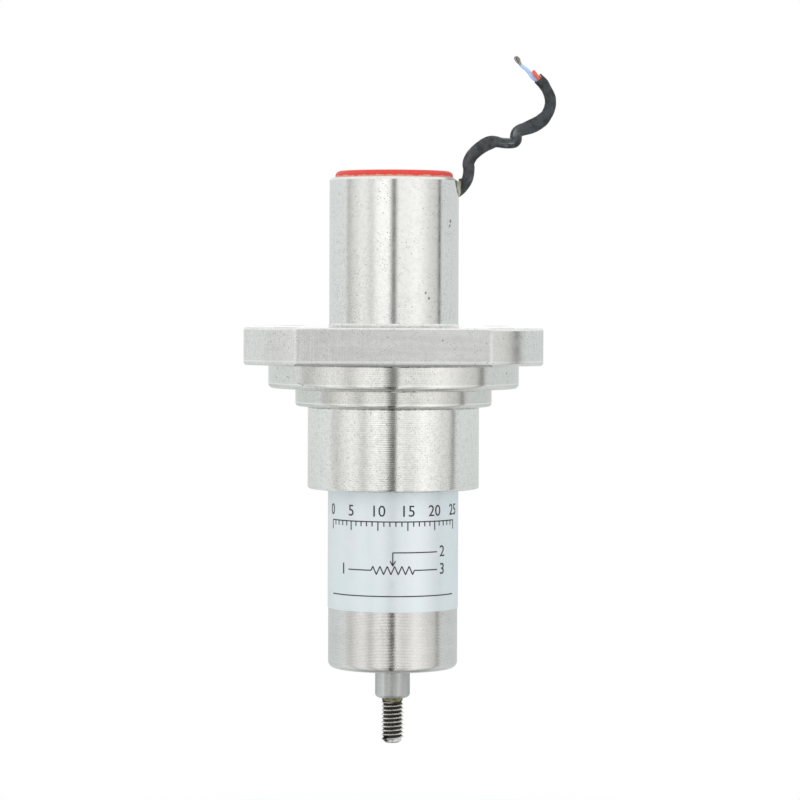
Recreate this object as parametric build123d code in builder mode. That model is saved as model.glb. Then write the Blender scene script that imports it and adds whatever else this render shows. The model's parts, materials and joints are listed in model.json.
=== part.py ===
from build123d import *

import math
import os

# Rod-operated linear displacement sensor in a turned flange body, in millimetres.
# The sensor's axis is Z. The origin is the centre of the flange's mounting face, the cable end is up,
# and the rod slides out of the bottom. It is drawn with the rod fully pushed in.

# Flange
flange_square = 50.0
flange_thickness = 6.3
flange_turned_edge_radius = 0.45
flange_top_edge_break = 0.25
flange_face_edge_break = 0.35
mounting_hole_diameter = 4.5
mounting_circle_diameter = 51.0
mounting_hole_count = 4
mounting_hole_angle = 45.0
mounting_hole_edge = 2.05

# Turned steps above and below the flange
barrel_diameter = 22.2
barrel_height = 25.4
barrel_root_radius = 0.6
barrel_rim_chamfer = 0.4
spigot_diameter = 43.0
spigot_height = 4.2
spigot_edge_radius = 0.8
step_diameter = 33.7
step_height = 3.1
step_edge_radius = 0.6
nose_diameter = 29.4
nose_height = 14.1
nose_edge_radius = 0.4
step_root_radius = 0.3
notch_radius = 3.2

# Sensor tube
tube_diameter = 22.2
tube_wall = 2.0
tube_seat_depth = 1.8
tube_edge_radius = 1.1
front_wall = 7.0
front_lip = 1.1
label_height = 20.3
label_thickness = 0.1
label_top_gap = 0.1
label_seam = 0.8
o_ring_section = 1.2
o_ring_groove_width = 1.8
o_ring_height = 4.0

# Rod, its stud and its bearing
stroke = 25.0
rod_diameter = 6.0
rod_exposed = 5.3
rod_end_radius = 0.5
rod_neck_diameter = 3.0
stud_diameter = 3.9
stud_exposed = 7.7
stud_engaged = 8.0
stud_engaged_diameter = 3.5
stud_end_chamfer = 0.45
stud_undercut_diameter = 3.1
stud_undercut_length = 0.9
sealant_ring_diameter = 3.5
sealant_ring_height = 0.6
bush_wall = 1.5
bush_flange_width = 0.7
bush_flange_thickness = 1.0
rod_seal_thickness = 1.7
rod_seal_groove = 0.35
bumper_thickness = 1.5
bumper_inset = 0.2
bumper_rod_gap = 0.4
stop_gap = 0.3
rear_gap = 3.2

# Carriage and its fixings
carriage_length = 9.0
carriage_window_width = 3.0
carriage_window_depth = 2.2
washer_diameter = 7.0
washer_thickness = 0.5
nut_across_flats = 5.5
nut_height = 2.4
nut_chamfer = 0.3
neck_beyond_nut = 0.5
guide_rod_diameter = 2.0
guide_rod_seat = 2.0

# Resistance element and wipers
board_thickness = 1.2
board_width = 10.8
board_end_gap = 0.2
board_bush_gap = 0.2
track_width = 3.4
track_spacing = 1.6
track_thickness = 0.2
track_margin = 2.0
carriage_board_gap = 1.2
wiper_thickness = 0.15
wiper_base_height = 4.0
wiper_base_inset = 0.6
wiper_finger_length = 3.6
wiper_finger_width = 0.7
wiper_finger_pitch = 1.1
wiper_finger_count = 3
wiper_curl = 0.5
wiper_track_gap = 0.1
wiper_screw_diameter = 1.6
wiper_screw_length = 2.6
wiper_screw_head_diameter = 2.4
wiper_screw_head_height = 0.45
wiper_screw_slot = 0.4

# Rear bulkhead, its ring and the terminals
bulkhead_ledge = 0.5
bulkhead_thickness = 3.0
circlip_thickness = 0.9
circlip_groove_width = 1.0
circlip_groove_depth = 0.5
circlip_width = 1.3
circlip_gap_angle = 40.0
circlip_lug_radius = 1.1
circlip_lug_hole_radius = 0.45
terminal_pin_diameter = 0.9
terminal_pin_pitch = 3.6
terminal_pin_count = 3
terminal_pin_overlap = 4.0
terminal_pin_height = 3.0
terminal_boss_diameter = 2.2
terminal_boss_height = 0.8

# End plug
plug_head_diameter = 20.2
plug_head_height = 1.2
plug_head_radius = 0.9
plug_skirt_depth = 3.0
plug_skirt_wall = 1.5
plug_underside_recess = 0.5

# Cable
cable_diameter = 2.1
lead_diameter = 0.8
seal_bulge = 0.5
strand_diameter = 0.6
strand_length = 1.8
lead_first_bend = 0.2
lead_middle_bend = 0.47
lead_lean = 1.0
lead_pinch = 0.7
lead_gather = 0.6
lead_run_in = 3.2
wire_run_out = {"wire_blue": 1.0, "wire_red": 0.9, "wire_white": 0.5}

# Clearances
running_clearance = 0.03
seal_clearance = 0.05
seated_clearance = 0.02
carriage_clearance = 0.15
guide_clearance = 0.05
guide_bush_gap = 0.2

# Lengths that follow from the others: the tube holds the carriage's travel between its two ends
flange_turned_diameter = mounting_circle_diameter + mounting_hole_diameter + 2 * mounting_hole_edge
front_stack = front_wall + bush_flange_thickness + bumper_thickness
carriage_stack = carriage_length + washer_thickness + nut_height + neck_beyond_nut
tube_length = front_stack + stop_gap + stroke + carriage_stack + rear_gap

# Heights along the axis
flange_top_z = flange_thickness
rim_z = flange_top_z + barrel_height
spigot_bottom_z = -spigot_height
step_bottom_z = spigot_bottom_z - step_height
nose_bottom_z = step_bottom_z - nose_height
tube_top_z = -tube_seat_depth
tube_bottom_z = tube_top_z - tube_length
cavity_floor_z = tube_bottom_z + front_wall
seal_bottom_z = tube_bottom_z + front_lip
bush_bottom_z = seal_bottom_z + rod_seal_thickness
bush_top_z = cavity_floor_z + bush_flange_thickness
bumper_top_z = bush_top_z + bumper_thickness
carriage_bottom_z = bumper_top_z + stop_gap + stroke
carriage_top_z = carriage_bottom_z + carriage_length
nut_bottom_z = carriage_top_z + washer_thickness
nut_top_z = nut_bottom_z + nut_height
rod_bottom_z = tube_bottom_z - rod_exposed
rod_top_z = nut_top_z + neck_beyond_nut
stud_bottom_z = rod_bottom_z - stud_exposed
bulkhead_top_z = tube_top_z + bulkhead_thickness
label_top_z = nose_bottom_z - label_top_gap
terminal_top_z = bulkhead_top_z + terminal_pin_height

# Radii and offsets across the axis
tube_radius = tube_diameter / 2
tube_bore_radius = tube_radius - tube_wall
barrel_radius = barrel_diameter / 2
barrel_bore_radius = tube_bore_radius + bulkhead_ledge
rod_radius = rod_diameter / 2
bush_radius = rod_radius + bush_wall
bush_flange_radius = bush_radius + bush_flange_width
guide_rod_radius = guide_rod_diameter / 2
guide_rod_offset = bush_flange_radius + guide_bush_gap + guide_rod_radius
board_face_y = bush_flange_radius + board_bush_gap
track_face_y = board_face_y - track_thickness
track_offset = (track_spacing + track_width) / 2
carriage_radius = tube_bore_radius - carriage_clearance
carriage_flat_y = board_face_y - carriage_board_gap
terminal_pin_y = board_face_y - terminal_pin_diameter / 2 - seated_clearance
cable_radius = cable_diameter / 2
lead_radius = lead_diameter / 2

os.makedirs("parts", exist_ok=True)


# Form of the four milled sides, with their edges broken a little above and more at the mounting face
with BuildPart() as milled_square:
    with BuildSketch():
        Rectangle(flange_square, flange_square)
    extrude(amount=flange_thickness)
    chamfer(milled_square.faces().sort_by(Axis.Z)[-1].edges(), flange_top_edge_break)
    chamfer(milled_square.faces().sort_by(Axis.Z)[0].edges(), flange_face_edge_break)


# Flange body: one piece, turned and then milled square, bored from both ends
with BuildPart() as flange_body:
    with BuildSketch():
        Circle(flange_turned_diameter / 2)
    extrude(amount=flange_thickness)
    fillet(flange_body.edges().filter_by(GeomType.CIRCLE), flange_turned_edge_radius)
    add(milled_square.part, mode=Mode.INTERSECT)

    for top_z, height, diameter, edge_radius in (
        (0, spigot_height, spigot_diameter, spigot_edge_radius),
        (spigot_bottom_z, step_height, step_diameter, step_edge_radius),
        (step_bottom_z, nose_height, nose_diameter, nose_edge_radius),
    ):
        with BuildSketch(Plane.XY.offset(top_z)):
            Circle(diameter / 2)
        extrude(amount=-height)
        root_edges = flange_body.edges().filter_by_position(Axis.Z, top_z, top_z)
        fillet(root_edges.filter_by(GeomType.CIRCLE).sort_by(SortBy.RADIUS)[0], step_root_radius)
        fillet(flange_body.faces().sort_by(Axis.Z)[0].edges(), edge_radius)

    with BuildSketch(Plane.XY.offset(flange_top_z)):
        Circle(barrel_radius)
    extrude(amount=barrel_height)
    chamfer(flange_body.faces().sort_by(Axis.Z)[-1].edges(), barrel_rim_chamfer)
    root_edges = flange_body.edges().filter_by_position(Axis.Z, flange_top_z, flange_top_z)
    fillet(root_edges.filter_by(GeomType.CIRCLE).sort_by(SortBy.RADIUS)[0], barrel_root_radius)
    with PolarLocations(mounting_circle_diameter / 2, mounting_hole_count, start_angle=mounting_hole_angle):
        Hole(mounting_hole_diameter / 2)

    with BuildSketch(Plane.XY.offset(tube_top_z)):
        Circle(barrel_bore_radius)
    extrude(amount=rim_z - tube_top_z, mode=Mode.SUBTRACT)
    with BuildSketch(Plane.XY.offset(tube_top_z)):
        Circle(tube_radius + seated_clearance)
    extrude(amount=nose_bottom_z - tube_top_z, mode=Mode.SUBTRACT)
    with BuildSketch(Plane.XY.offset(nose_bottom_z + o_ring_height)):
        Circle(tube_radius + o_ring_section)
    extrude(amount=o_ring_groove_width, mode=Mode.SUBTRACT)
    with BuildSketch(Plane.XY.offset(bulkhead_top_z)):
        Circle(barrel_bore_radius + circlip_groove_depth)
    extrude(amount=circlip_groove_width, mode=Mode.SUBTRACT)
    with BuildSketch(Plane.YZ):
        with Locations((0, rim_z)):
            Circle(notch_radius)
    extrude(amount=barrel_diameter, mode=Mode.SUBTRACT)

flange_body.part.label = "flange_body"
export_step(flange_body.part, "parts/flange_body.step")


# Sensor tube: closed at the front except for the rod's bore, open at the back
with BuildPart() as sensor_tube:
    with BuildSketch(Plane.XY.offset(tube_bottom_z)):
        Circle(tube_radius)
    extrude(amount=tube_length)
    fillet(sensor_tube.faces().sort_by(Axis.Z)[0].edges(), tube_edge_radius)
    with BuildSketch(Plane.XY.offset(cavity_floor_z)):
        Circle(tube_bore_radius)
    extrude(amount=tube_top_z - cavity_floor_z, mode=Mode.SUBTRACT)
    with BuildSketch(Plane.XY.offset(seal_bottom_z)):
        Circle(bush_radius + seated_clearance)
    extrude(amount=cavity_floor_z - seal_bottom_z, mode=Mode.SUBTRACT)
    with BuildSketch(Plane.XY.offset(tube_bottom_z)):
        Circle(rod_radius + seal_clearance)
    extrude(amount=front_lip, mode=Mode.SUBTRACT)
    with BuildSketch(Plane.XY.offset(cavity_floor_z)):
        with Locations((0, -guide_rod_offset)):
            Circle(guide_rod_radius + seated_clearance)
    extrude(amount=-guide_rod_seat, mode=Mode.SUBTRACT)

sensor_tube.part.label = "sensor_tube"
export_step(sensor_tube.part, "parts/sensor_tube.step")


# O-ring between the tube and the nose's bore
with BuildPart() as tube_o_ring:
    with BuildSketch(Plane.XZ):
        with Locations((tube_radius + o_ring_section / 2, nose_bottom_z + o_ring_height + o_ring_groove_width / 2)):
            Circle(o_ring_section / 2 - seated_clearance)
    revolve(axis=Axis.Z)

tube_o_ring.part.label = "tube_o_ring"
export_step(tube_o_ring.part, "parts/tube_o_ring.step")


# Label wrapped round the tube under the nose, its seam at the back
with BuildPart() as label:
    with BuildSketch(Plane.XY.offset(label_top_z)):
        Circle(tube_radius + label_thickness)
        Circle(tube_radius, mode=Mode.SUBTRACT)
        with Locations((0, tube_radius)):
            Rectangle(label_seam, tube_radius, mode=Mode.SUBTRACT)
    extrude(amount=-label_height)

label.part.label = "label"
export_step(label.part, "parts/label.step")


# Bearing bush, flanged on its inner end
with BuildPart() as rod_bush:
    with BuildSketch(Plane.XY.offset(bush_bottom_z)):
        Circle(bush_radius)
    extrude(amount=cavity_floor_z - bush_bottom_z)
    with BuildSketch(Plane.XY.offset(cavity_floor_z)):
        Circle(bush_flange_radius)
    extrude(amount=bush_flange_thickness)
    with BuildSketch(Plane.XY.offset(bush_bottom_z)):
        Circle(rod_radius + running_clearance)
    extrude(amount=bush_top_z - bush_bottom_z, mode=Mode.SUBTRACT)

rod_bush.part.label = "rod_bush"
export_step(rod_bush.part, "parts/rod_bush.step")


# Rod seal: a ring with a groove in each face that leaves two lips
with BuildPart() as rod_seal:
    with BuildSketch(Plane.XY.offset(seal_bottom_z)):
        Circle(bush_radius)
        Circle(rod_radius + seal_clearance, mode=Mode.SUBTRACT)
    extrude(amount=rod_seal_thickness)
    seal_middle = (bush_radius + rod_radius) / 2
    for face_z, direction in ((seal_bottom_z, 1), (bush_bottom_z, -1)):
        with BuildSketch(Plane.XY.offset(face_z)):
            Circle(seal_middle + rod_seal_groove / 2)
            Circle(seal_middle - rod_seal_groove / 2, mode=Mode.SUBTRACT)
        extrude(amount=direction * rod_seal_groove, mode=Mode.SUBTRACT)

rod_seal.part.label = "rod_seal"
export_step(rod_seal.part, "parts/rod_seal.step")


# Rubber bumper on the bush, which the carriage meets at full stroke
with BuildPart() as front_bumper:
    with BuildSketch(Plane.XY.offset(bush_top_z)):
        Circle(bush_flange_radius - bumper_inset)
        Circle(rod_radius + bumper_rod_gap, mode=Mode.SUBTRACT)
    extrude(amount=bumper_thickness)

front_bumper.part.label = "front_bumper"
export_step(front_bumper.part, "parts/front_bumper.step")


# Guide rod that keeps the carriage from turning, seated in the tube's floor and in the bulkhead
with BuildPart() as guide_rod:
    with BuildSketch(Plane.XY.offset(cavity_floor_z - guide_rod_seat)):
        with Locations((0, -guide_rod_offset)):
            Circle(guide_rod_radius)
    extrude(amount=tube_top_z + guide_rod_seat - (cavity_floor_z - guide_rod_seat))

guide_rod.part.label = "guide_rod"
export_step(guide_rod.part, "parts/guide_rod.step")


# Element carrier: a D-shaped rail against the tube's wall, with a pocket for the board
with BuildPart() as element_carrier:
    with BuildSketch(Plane.XY.offset(cavity_floor_z)):
        Circle(tube_bore_radius - seated_clearance)
        with Locations((0, board_face_y)):
            Rectangle(
                tube_diameter,
                tube_diameter,
                align=(Align.CENTER, Align.MIN),
                mode=Mode.INTERSECT,
            )
        with Locations((0, board_face_y)):
            Rectangle(
                board_width + 2 * seated_clearance,
                board_thickness,
                align=(Align.CENTER, Align.MIN),
                mode=Mode.SUBTRACT,
            )
    extrude(amount=tube_top_z - cavity_floor_z)

element_carrier.part.label = "element_carrier"
export_step(element_carrier.part, "parts/element_carrier.step")


# Board that carries the two printed tracks
with BuildPart() as element_board:
    with BuildSketch(Plane.XY.offset(cavity_floor_z + board_end_gap)):
        with Locations((0, board_face_y)):
            Rectangle(board_width, board_thickness, align=(Align.CENTER, Align.MIN))
    extrude(amount=tube_top_z - cavity_floor_z - 2 * board_end_gap)

element_board.part.label = "element_board"
export_step(element_board.part, "parts/element_board.step")


# Resistive track and collector track, as long as the wiper's travel and a margin
contact_z = carriage_bottom_z + wiper_base_inset + wiper_base_height + wiper_finger_length
track_bottom_z = contact_z - stroke - track_margin
track_length = stroke + 2 * track_margin
for name, side in (("resistive_track", -1), ("collector_track", 1)):
    with BuildPart() as track:
        with BuildSketch(Plane.XY.offset(track_bottom_z)):
            with Locations((side * track_offset, track_face_y)):
                Rectangle(track_width, track_thickness, align=(Align.CENTER, Align.MIN))
        extrude(amount=track_length)
    track.part.label = name
    export_step(track.part, f"parts/{name}.step")


# Rod: ground shaft, tapped at its front end and turned down behind for the carriage
with BuildPart() as rod:
    with BuildSketch(Plane.XY.offset(rod_bottom_z)):
        Circle(rod_radius)
    extrude(amount=carriage_bottom_z - rod_bottom_z)
    fillet(rod.faces().sort_by(Axis.Z)[0].edges(), rod_end_radius)
    with BuildSketch(Plane.XY.offset(carriage_bottom_z)):
        Circle(rod_neck_diameter / 2)
    extrude(amount=rod_top_z - carriage_bottom_z)
    with BuildSketch(Plane.XY.offset(rod_bottom_z)):
        Circle(stud_engaged_diameter / 2 + seated_clearance)
    extrude(amount=stud_engaged, mode=Mode.SUBTRACT)

rod.part.label = "rod"
export_step(rod.part, "parts/rod.step")


# Threaded stud, undercut where it leaves the rod: its outer diameter outside, and inside the rod
# the pitch diameter, at which the two threads meet
with BuildPart() as rod_stud:
    with BuildSketch(Plane.XY.offset(stud_bottom_z)):
        Circle(stud_diameter / 2)
    extrude(amount=stud_exposed - stud_undercut_length)
    chamfer(rod_stud.faces().sort_by(Axis.Z)[0].edges(), stud_end_chamfer)
    with BuildSketch(Plane.XY.offset(rod_bottom_z - stud_undercut_length)):
        Circle(stud_undercut_diameter / 2)
    extrude(amount=stud_undercut_length)
    with BuildSketch(Plane.XY.offset(rod_bottom_z)):
        Circle(stud_engaged_diameter / 2)
    extrude(amount=stud_engaged)
    chamfer(rod_stud.faces().sort_by(Axis.Z)[-1].edges(), stud_end_chamfer)

rod_stud.part.label = "rod_stud"
export_step(rod_stud.part, "parts/rod_stud.step")


# Ring of thread sealant in the undercut
with BuildPart() as thread_sealant:
    with BuildSketch(Plane.XY.offset(rod_bottom_z)):
        Circle(sealant_ring_diameter / 2)
        Circle(stud_undercut_diameter / 2, mode=Mode.SUBTRACT)
    extrude(amount=-sealant_ring_height)

thread_sealant.part.label = "thread_sealant"
export_step(thread_sealant.part, "parts/thread_sealant.step")


# Carriage: moulded block with a flat towards the board, guided by the tube and the guide rod
with BuildPart() as carriage:
    with BuildSketch(Plane.XY.offset(carriage_bottom_z)):
        Circle(carriage_radius)
        with Locations((0, carriage_flat_y)):
            Rectangle(
                tube_diameter,
                tube_diameter,
                align=(Align.CENTER, Align.MAX),
                mode=Mode.INTERSECT,
            )
        Circle(rod_neck_diameter / 2 + seated_clearance, mode=Mode.SUBTRACT)
        with Locations((0, -guide_rod_offset)):
            Circle(guide_rod_radius + guide_clearance, mode=Mode.SUBTRACT)
        with Locations((-carriage_radius, 0), (carriage_radius, 0)):
            Rectangle(2 * carriage_window_depth, carriage_window_width, mode=Mode.SUBTRACT)
    extrude(amount=carriage_length)
    wiper_screw_z = carriage_bottom_z + wiper_base_inset + wiper_base_height / 2
    with BuildSketch(Plane.XZ.offset(-carriage_flat_y)):
        with Locations((-track_offset, wiper_screw_z), (track_offset, wiper_screw_z)):
            Circle(wiper_screw_diameter / 2 + seated_clearance)
    extrude(amount=wiper_screw_length, mode=Mode.SUBTRACT)

carriage.part.label = "carriage"
export_step(carriage.part, "parts/carriage.step")


# Washer and nut that hold the carriage against the rod's shoulder
with BuildPart() as carriage_washer:
    with BuildSketch(Plane.XY.offset(carriage_top_z)):
        Circle(washer_diameter / 2)
        Circle(rod_neck_diameter / 2 + seated_clearance, mode=Mode.SUBTRACT)
    extrude(amount=washer_thickness)

carriage_washer.part.label = "carriage_washer"
export_step(carriage_washer.part, "parts/carriage_washer.step")

with BuildPart() as carriage_nut:
    with BuildSketch(Plane.XY.offset(nut_bottom_z)):
        RegularPolygon(nut_across_flats / 2, 6, major_radius=False)
    extrude(amount=nut_height)
    with BuildSketch(Plane.XY.offset(nut_bottom_z)):
        Circle(nut_across_flats / math.sqrt(3) - nut_chamfer / 2)
    extrude(amount=nut_height, mode=Mode.INTERSECT)
    with BuildSketch(Plane.XY.offset(nut_bottom_z)):
        Circle(rod_neck_diameter / 2 + seated_clearance)
    extrude(amount=nut_height, mode=Mode.SUBTRACT)

carriage_nut.part.label = "carriage_nut"
export_step(carriage_nut.part, "parts/carriage_nut.step")


# Wiper: one spring sheet on the carriage's flat, with a group of bent fingers for each track
wiper_base_bottom_z = carriage_bottom_z + wiper_base_inset
wiper_base_top_z = wiper_base_bottom_z + wiper_base_height
wiper_base_width = track_spacing + 2 * track_width
wiper_tip_y = track_face_y - wiper_track_gap - wiper_thickness
finger_first = -(wiper_finger_count - 1) / 2 * wiper_finger_pitch
with BuildPart() as wiper_spring:
    with BuildSketch(Plane.XY.offset(wiper_base_bottom_z)):
        with Locations((0, carriage_flat_y)):
            Rectangle(wiper_base_width, wiper_thickness, align=(Align.CENTER, Align.MIN))
    extrude(amount=wiper_base_height)
    with BuildSketch(Plane.XZ.offset(-carriage_flat_y)):
        with Locations((-track_offset, wiper_screw_z), (track_offset, wiper_screw_z)):
            Circle(wiper_screw_diameter / 2 + seated_clearance)
    extrude(amount=-wiper_thickness, mode=Mode.SUBTRACT)
    for side in (-1, 1):
        for index in range(wiper_finger_count):
            finger_x = side * track_offset + finger_first + index * wiper_finger_pitch
            with BuildSketch(Plane.YZ.offset(finger_x - wiper_finger_width / 2)):
                with BuildLine():
                    Polyline(
                        (carriage_flat_y, wiper_base_top_z - wiper_base_inset),
                        (carriage_flat_y, wiper_base_top_z),
                        (wiper_tip_y, contact_z),
                        (wiper_tip_y - wiper_curl, contact_z + wiper_curl),
                    )
                    offset(amount=wiper_thickness, side=Side.RIGHT)
                make_face()
            extrude(amount=wiper_finger_width)

wiper_spring.part.label = "wiper_spring"
export_step(wiper_spring.part, "parts/wiper_spring.step")


# Two slotted screws that hold the wiper
with BuildPart() as wiper_screws:
    screw_head_y = carriage_flat_y + wiper_thickness
    for side in (-1, 1):
        screw_place = (side * track_offset, wiper_screw_z)
        with BuildSketch(Plane.XZ.offset(-screw_head_y)):
            with Locations(screw_place):
                Circle(wiper_screw_diameter / 2)
        extrude(amount=wiper_thickness + wiper_screw_length)
        with BuildSketch(Plane.XZ.offset(-screw_head_y)):
            with Locations(screw_place):
                Circle(wiper_screw_head_diameter / 2)
        extrude(amount=-wiper_screw_head_height)
        with BuildSketch(Plane.XZ.offset(-screw_head_y - wiper_screw_head_height)):
            with Locations(screw_place):
                Rectangle(wiper_screw_head_diameter, wiper_screw_slot)
        extrude(amount=wiper_screw_head_height / 2, mode=Mode.SUBTRACT)

wiper_screws.part.label = "wiper_screws"
export_step(wiper_screws.part, "parts/wiper_screws.step")


# Rear bulkhead: moulded disc on the tube's end, with a boss round each terminal
terminal_x = [
    (index - (terminal_pin_count - 1) / 2) * terminal_pin_pitch for index in range(terminal_pin_count)
]
terminal_places = [(x, terminal_pin_y) for x in terminal_x]
with BuildPart() as rear_bulkhead:
    with BuildSketch(Plane.XY.offset(tube_top_z)):
        Circle(barrel_bore_radius - seated_clearance)
    extrude(amount=bulkhead_thickness)
    with BuildSketch(Plane.XY.offset(bulkhead_top_z)):
        with Locations(*terminal_places):
            Circle(terminal_boss_diameter / 2)
    extrude(amount=terminal_boss_height)
    with BuildSketch(Plane.XY.offset(tube_top_z)):
        with Locations(*terminal_places):
            Circle(terminal_pin_diameter / 2 + seated_clearance)
    extrude(amount=bulkhead_thickness + terminal_boss_height, mode=Mode.SUBTRACT)
    with BuildSketch(Plane.XY.offset(tube_top_z)):
        with Locations((0, -guide_rod_offset)):
            Circle(guide_rod_radius + seated_clearance)
    extrude(amount=guide_rod_seat, mode=Mode.SUBTRACT)

rear_bulkhead.part.label = "rear_bulkhead"
export_step(rear_bulkhead.part, "parts/rear_bulkhead.step")


# Ring that holds the bulkhead down, open on one side, with a lug at each end
circlip_outer = barrel_bore_radius + circlip_groove_depth - seal_clearance
circlip_inner = circlip_outer - circlip_width
with BuildPart() as bulkhead_circlip:
    with BuildSketch(Plane.XY.offset(bulkhead_top_z)):
        Circle(circlip_outer)
        Circle(circlip_inner, mode=Mode.SUBTRACT)
        with BuildLine():
            gap_reach = 2 * circlip_outer
            Polyline(
                (0, 0),
                (-gap_reach, -gap_reach * math.tan(math.radians(circlip_gap_angle / 2))),
                (-gap_reach, gap_reach * math.tan(math.radians(circlip_gap_angle / 2))),
                (0, 0),
            )
        make_face(mode=Mode.SUBTRACT)
        lug_centre = circlip_outer - circlip_lug_radius
        lug_angle = 180 - circlip_gap_angle / 2
        with PolarLocations(lug_centre, 2, lug_angle, circlip_gap_angle, endpoint=True):
            Circle(circlip_lug_radius)
            Circle(circlip_lug_hole_radius, mode=Mode.SUBTRACT)
    extrude(amount=circlip_thickness)

bulkhead_circlip.part.label = "bulkhead_circlip"
export_step(bulkhead_circlip.part, "parts/bulkhead_circlip.step")


# Terminal pins, against the board's face below and through the bulkhead above
terminal_bottom_z = tube_top_z - terminal_pin_overlap
with BuildPart() as terminal_pins:
    with BuildSketch(Plane.XY.offset(terminal_bottom_z)):
        with Locations(*terminal_places):
            Circle(terminal_pin_diameter / 2)
    extrude(amount=terminal_top_z - terminal_bottom_z)

terminal_pins.part.label = "terminal_pins"
export_step(terminal_pins.part, "parts/terminal_pins.step")


# End plug: head on the barrel's rim, and a skirt inside the bore that is open beside the notch
with BuildPart() as end_plug:
    with BuildSketch(Plane.XY.offset(rim_z)):
        Circle(plug_head_diameter / 2)
    extrude(amount=plug_head_height)
    fillet(end_plug.faces().sort_by(Axis.Z)[-1].edges(), plug_head_radius)
    with BuildSketch(Plane.XY.offset(rim_z)):
        Circle(barrel_bore_radius - seal_clearance)
        Circle(barrel_bore_radius - plug_skirt_wall, mode=Mode.SUBTRACT)
        Rectangle(
            barrel_diameter,
            2 * notch_radius,
            align=(Align.MIN, Align.CENTER),
            mode=Mode.SUBTRACT,
        )
    extrude(amount=-plug_skirt_depth)
    with BuildSketch(Plane.XY.offset(rim_z)):
        Circle(barrel_bore_radius - plug_skirt_wall)
    extrude(amount=plug_underside_recess, mode=Mode.SUBTRACT)

end_plug.part.label = "end_plug"
export_step(end_plug.part, "parts/end_plug.step")


# Sealant that fills the notch round the cable and stands a little proud
with BuildPart() as cable_seal:
    with BuildSketch(Plane.YZ):
        with Locations((0, rim_z)):
            Circle(notch_radius - seated_clearance)
            Rectangle(
                2 * notch_radius,
                notch_radius,
                align=(Align.CENTER, Align.MAX),
                mode=Mode.INTERSECT,
            )
    extrude(amount=barrel_diameter)
    with BuildSketch(Plane.XY.offset(rim_z - notch_radius)):
        Circle(barrel_radius + seal_bulge)
        Circle(barrel_bore_radius, mode=Mode.SUBTRACT)
    extrude(amount=notch_radius, mode=Mode.INTERSECT)

cable_seal.part.label = "cable_seal"
export_step(cable_seal.part, "parts/cable_seal.step")


# Arc radii for a route of straight runs: as large as the two runs at each corner allow
arc_share_of_run = 0.45


def bend_radii(route):
    places = [Vector(*point) for point in route]
    radii = []
    for before, corner, after in zip(places, places[1:], places[2:]):
        arriving = corner - before
        leaving = after - corner
        half_turn = math.radians(arriving.get_angle(leaving)) / 2
        radii.append(arc_share_of_run * min(arriving.length, leaving.length) / math.tan(half_turn))
    return radii


# Round bar along such a route
def bar_along(route, radius):
    with BuildPart() as bar:
        with BuildLine() as path:
            FilletPolyline(*route, radius=bend_radii(route))
        with BuildSketch(Plane(origin=path.line @ 0, z_dir=path.line % 0)):
            Circle(radius)
        sweep()
    return bar, path.wire().length


# Cable sleeve, from inside the notch to its free end, by steps from the barrel's rim beside the notch
cable_route = [
    (barrel_radius + across, along, rim_z + above)
    for across, along, above in (
        (-1.75, 0.0, -1.95),
        (0.2, 0.0, -1.4),
        (1.5, 0.0, 0.4),
        (1.4, -0.5, 3.0),
        (3.5, -1.2, 5.6),
        (6.3, -1.5, 6.55),
        (8.8, -1.1, 6.2),
        (10.8, -0.3, 8.1),
        (13.65, 0.6, 9.85),
        (15.4, 0.9, 12.0),
        (15.35, 0.4, 14.8),
        (13.6, -0.3, 17.0),
    )
]
cable_sleeve, cable_length = bar_along(cable_route, cable_radius)
cable_sleeve.part.label = "cable_sleeve"
export_step(cable_sleeve.part, "parts/cable_sleeve.step")
print("cable bend radii", [round(radius, 2) for radius in bend_radii(cable_route)])
print("cable length", round(cable_length, 2))
print("cable volume", round(cable_sleeve.part.volume, 3))
print("cable section times length", round(math.pi * cable_radius**2 * cable_length, 3))


# Places of the three leads in a cable's section that is cut square to its direction
def lead_places(origin, direction):
    across = Plane(origin=origin, z_dir=direction, x_dir=(0, 1, 0))
    ring_radius = (lead_diameter + running_clearance) / math.sqrt(3)
    return [
        Vector(*across.from_local_coords((
            ring_radius * math.cos(math.radians(angle)),
            ring_radius * math.sin(math.radians(angle)),
            0,
        )))
        for angle in (90, 210, 330)
    ]


# Inner leads, from the terminals up through the rear chamber to the cable's inner end
inner_direction = (Vector(*cable_route[1]) - Vector(*cable_route[0])).normalized()
inner_places = lead_places(cable_route[0], inner_direction)
lead_turns = {
    "lead_blue": {"depth": 0.0, "rise": 0.85},
    "lead_red": {"depth": -2.2, "rise": 0.67},
    "lead_white": {"depth": 2.6, "rise": 0.67},
}
chamber_height = cable_route[0][2] - terminal_top_z
for (name, turn), pin_x, place in zip(lead_turns.items(), terminal_x, inner_places):
    first_z = terminal_top_z + lead_first_bend * chamber_height
    middle_z = terminal_top_z + lead_middle_bend * chamber_height
    turn_z = terminal_top_z + turn["rise"] * chamber_height
    route = [
        (pin_x, terminal_pin_y, terminal_top_z),
        (pin_x, terminal_pin_y, first_z),
        (lead_pinch * pin_x + lead_lean, turn["depth"], middle_z),
        (barrel_bore_radius / 2, lead_gather * turn["depth"], turn_z),
        tuple(place - inner_direction * lead_run_in),
        tuple(place),
    ]
    lead, lead_length = bar_along(route, lead_radius)
    lead.part.label = name
    export_step(lead.part, f"parts/{name}.step")


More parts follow.
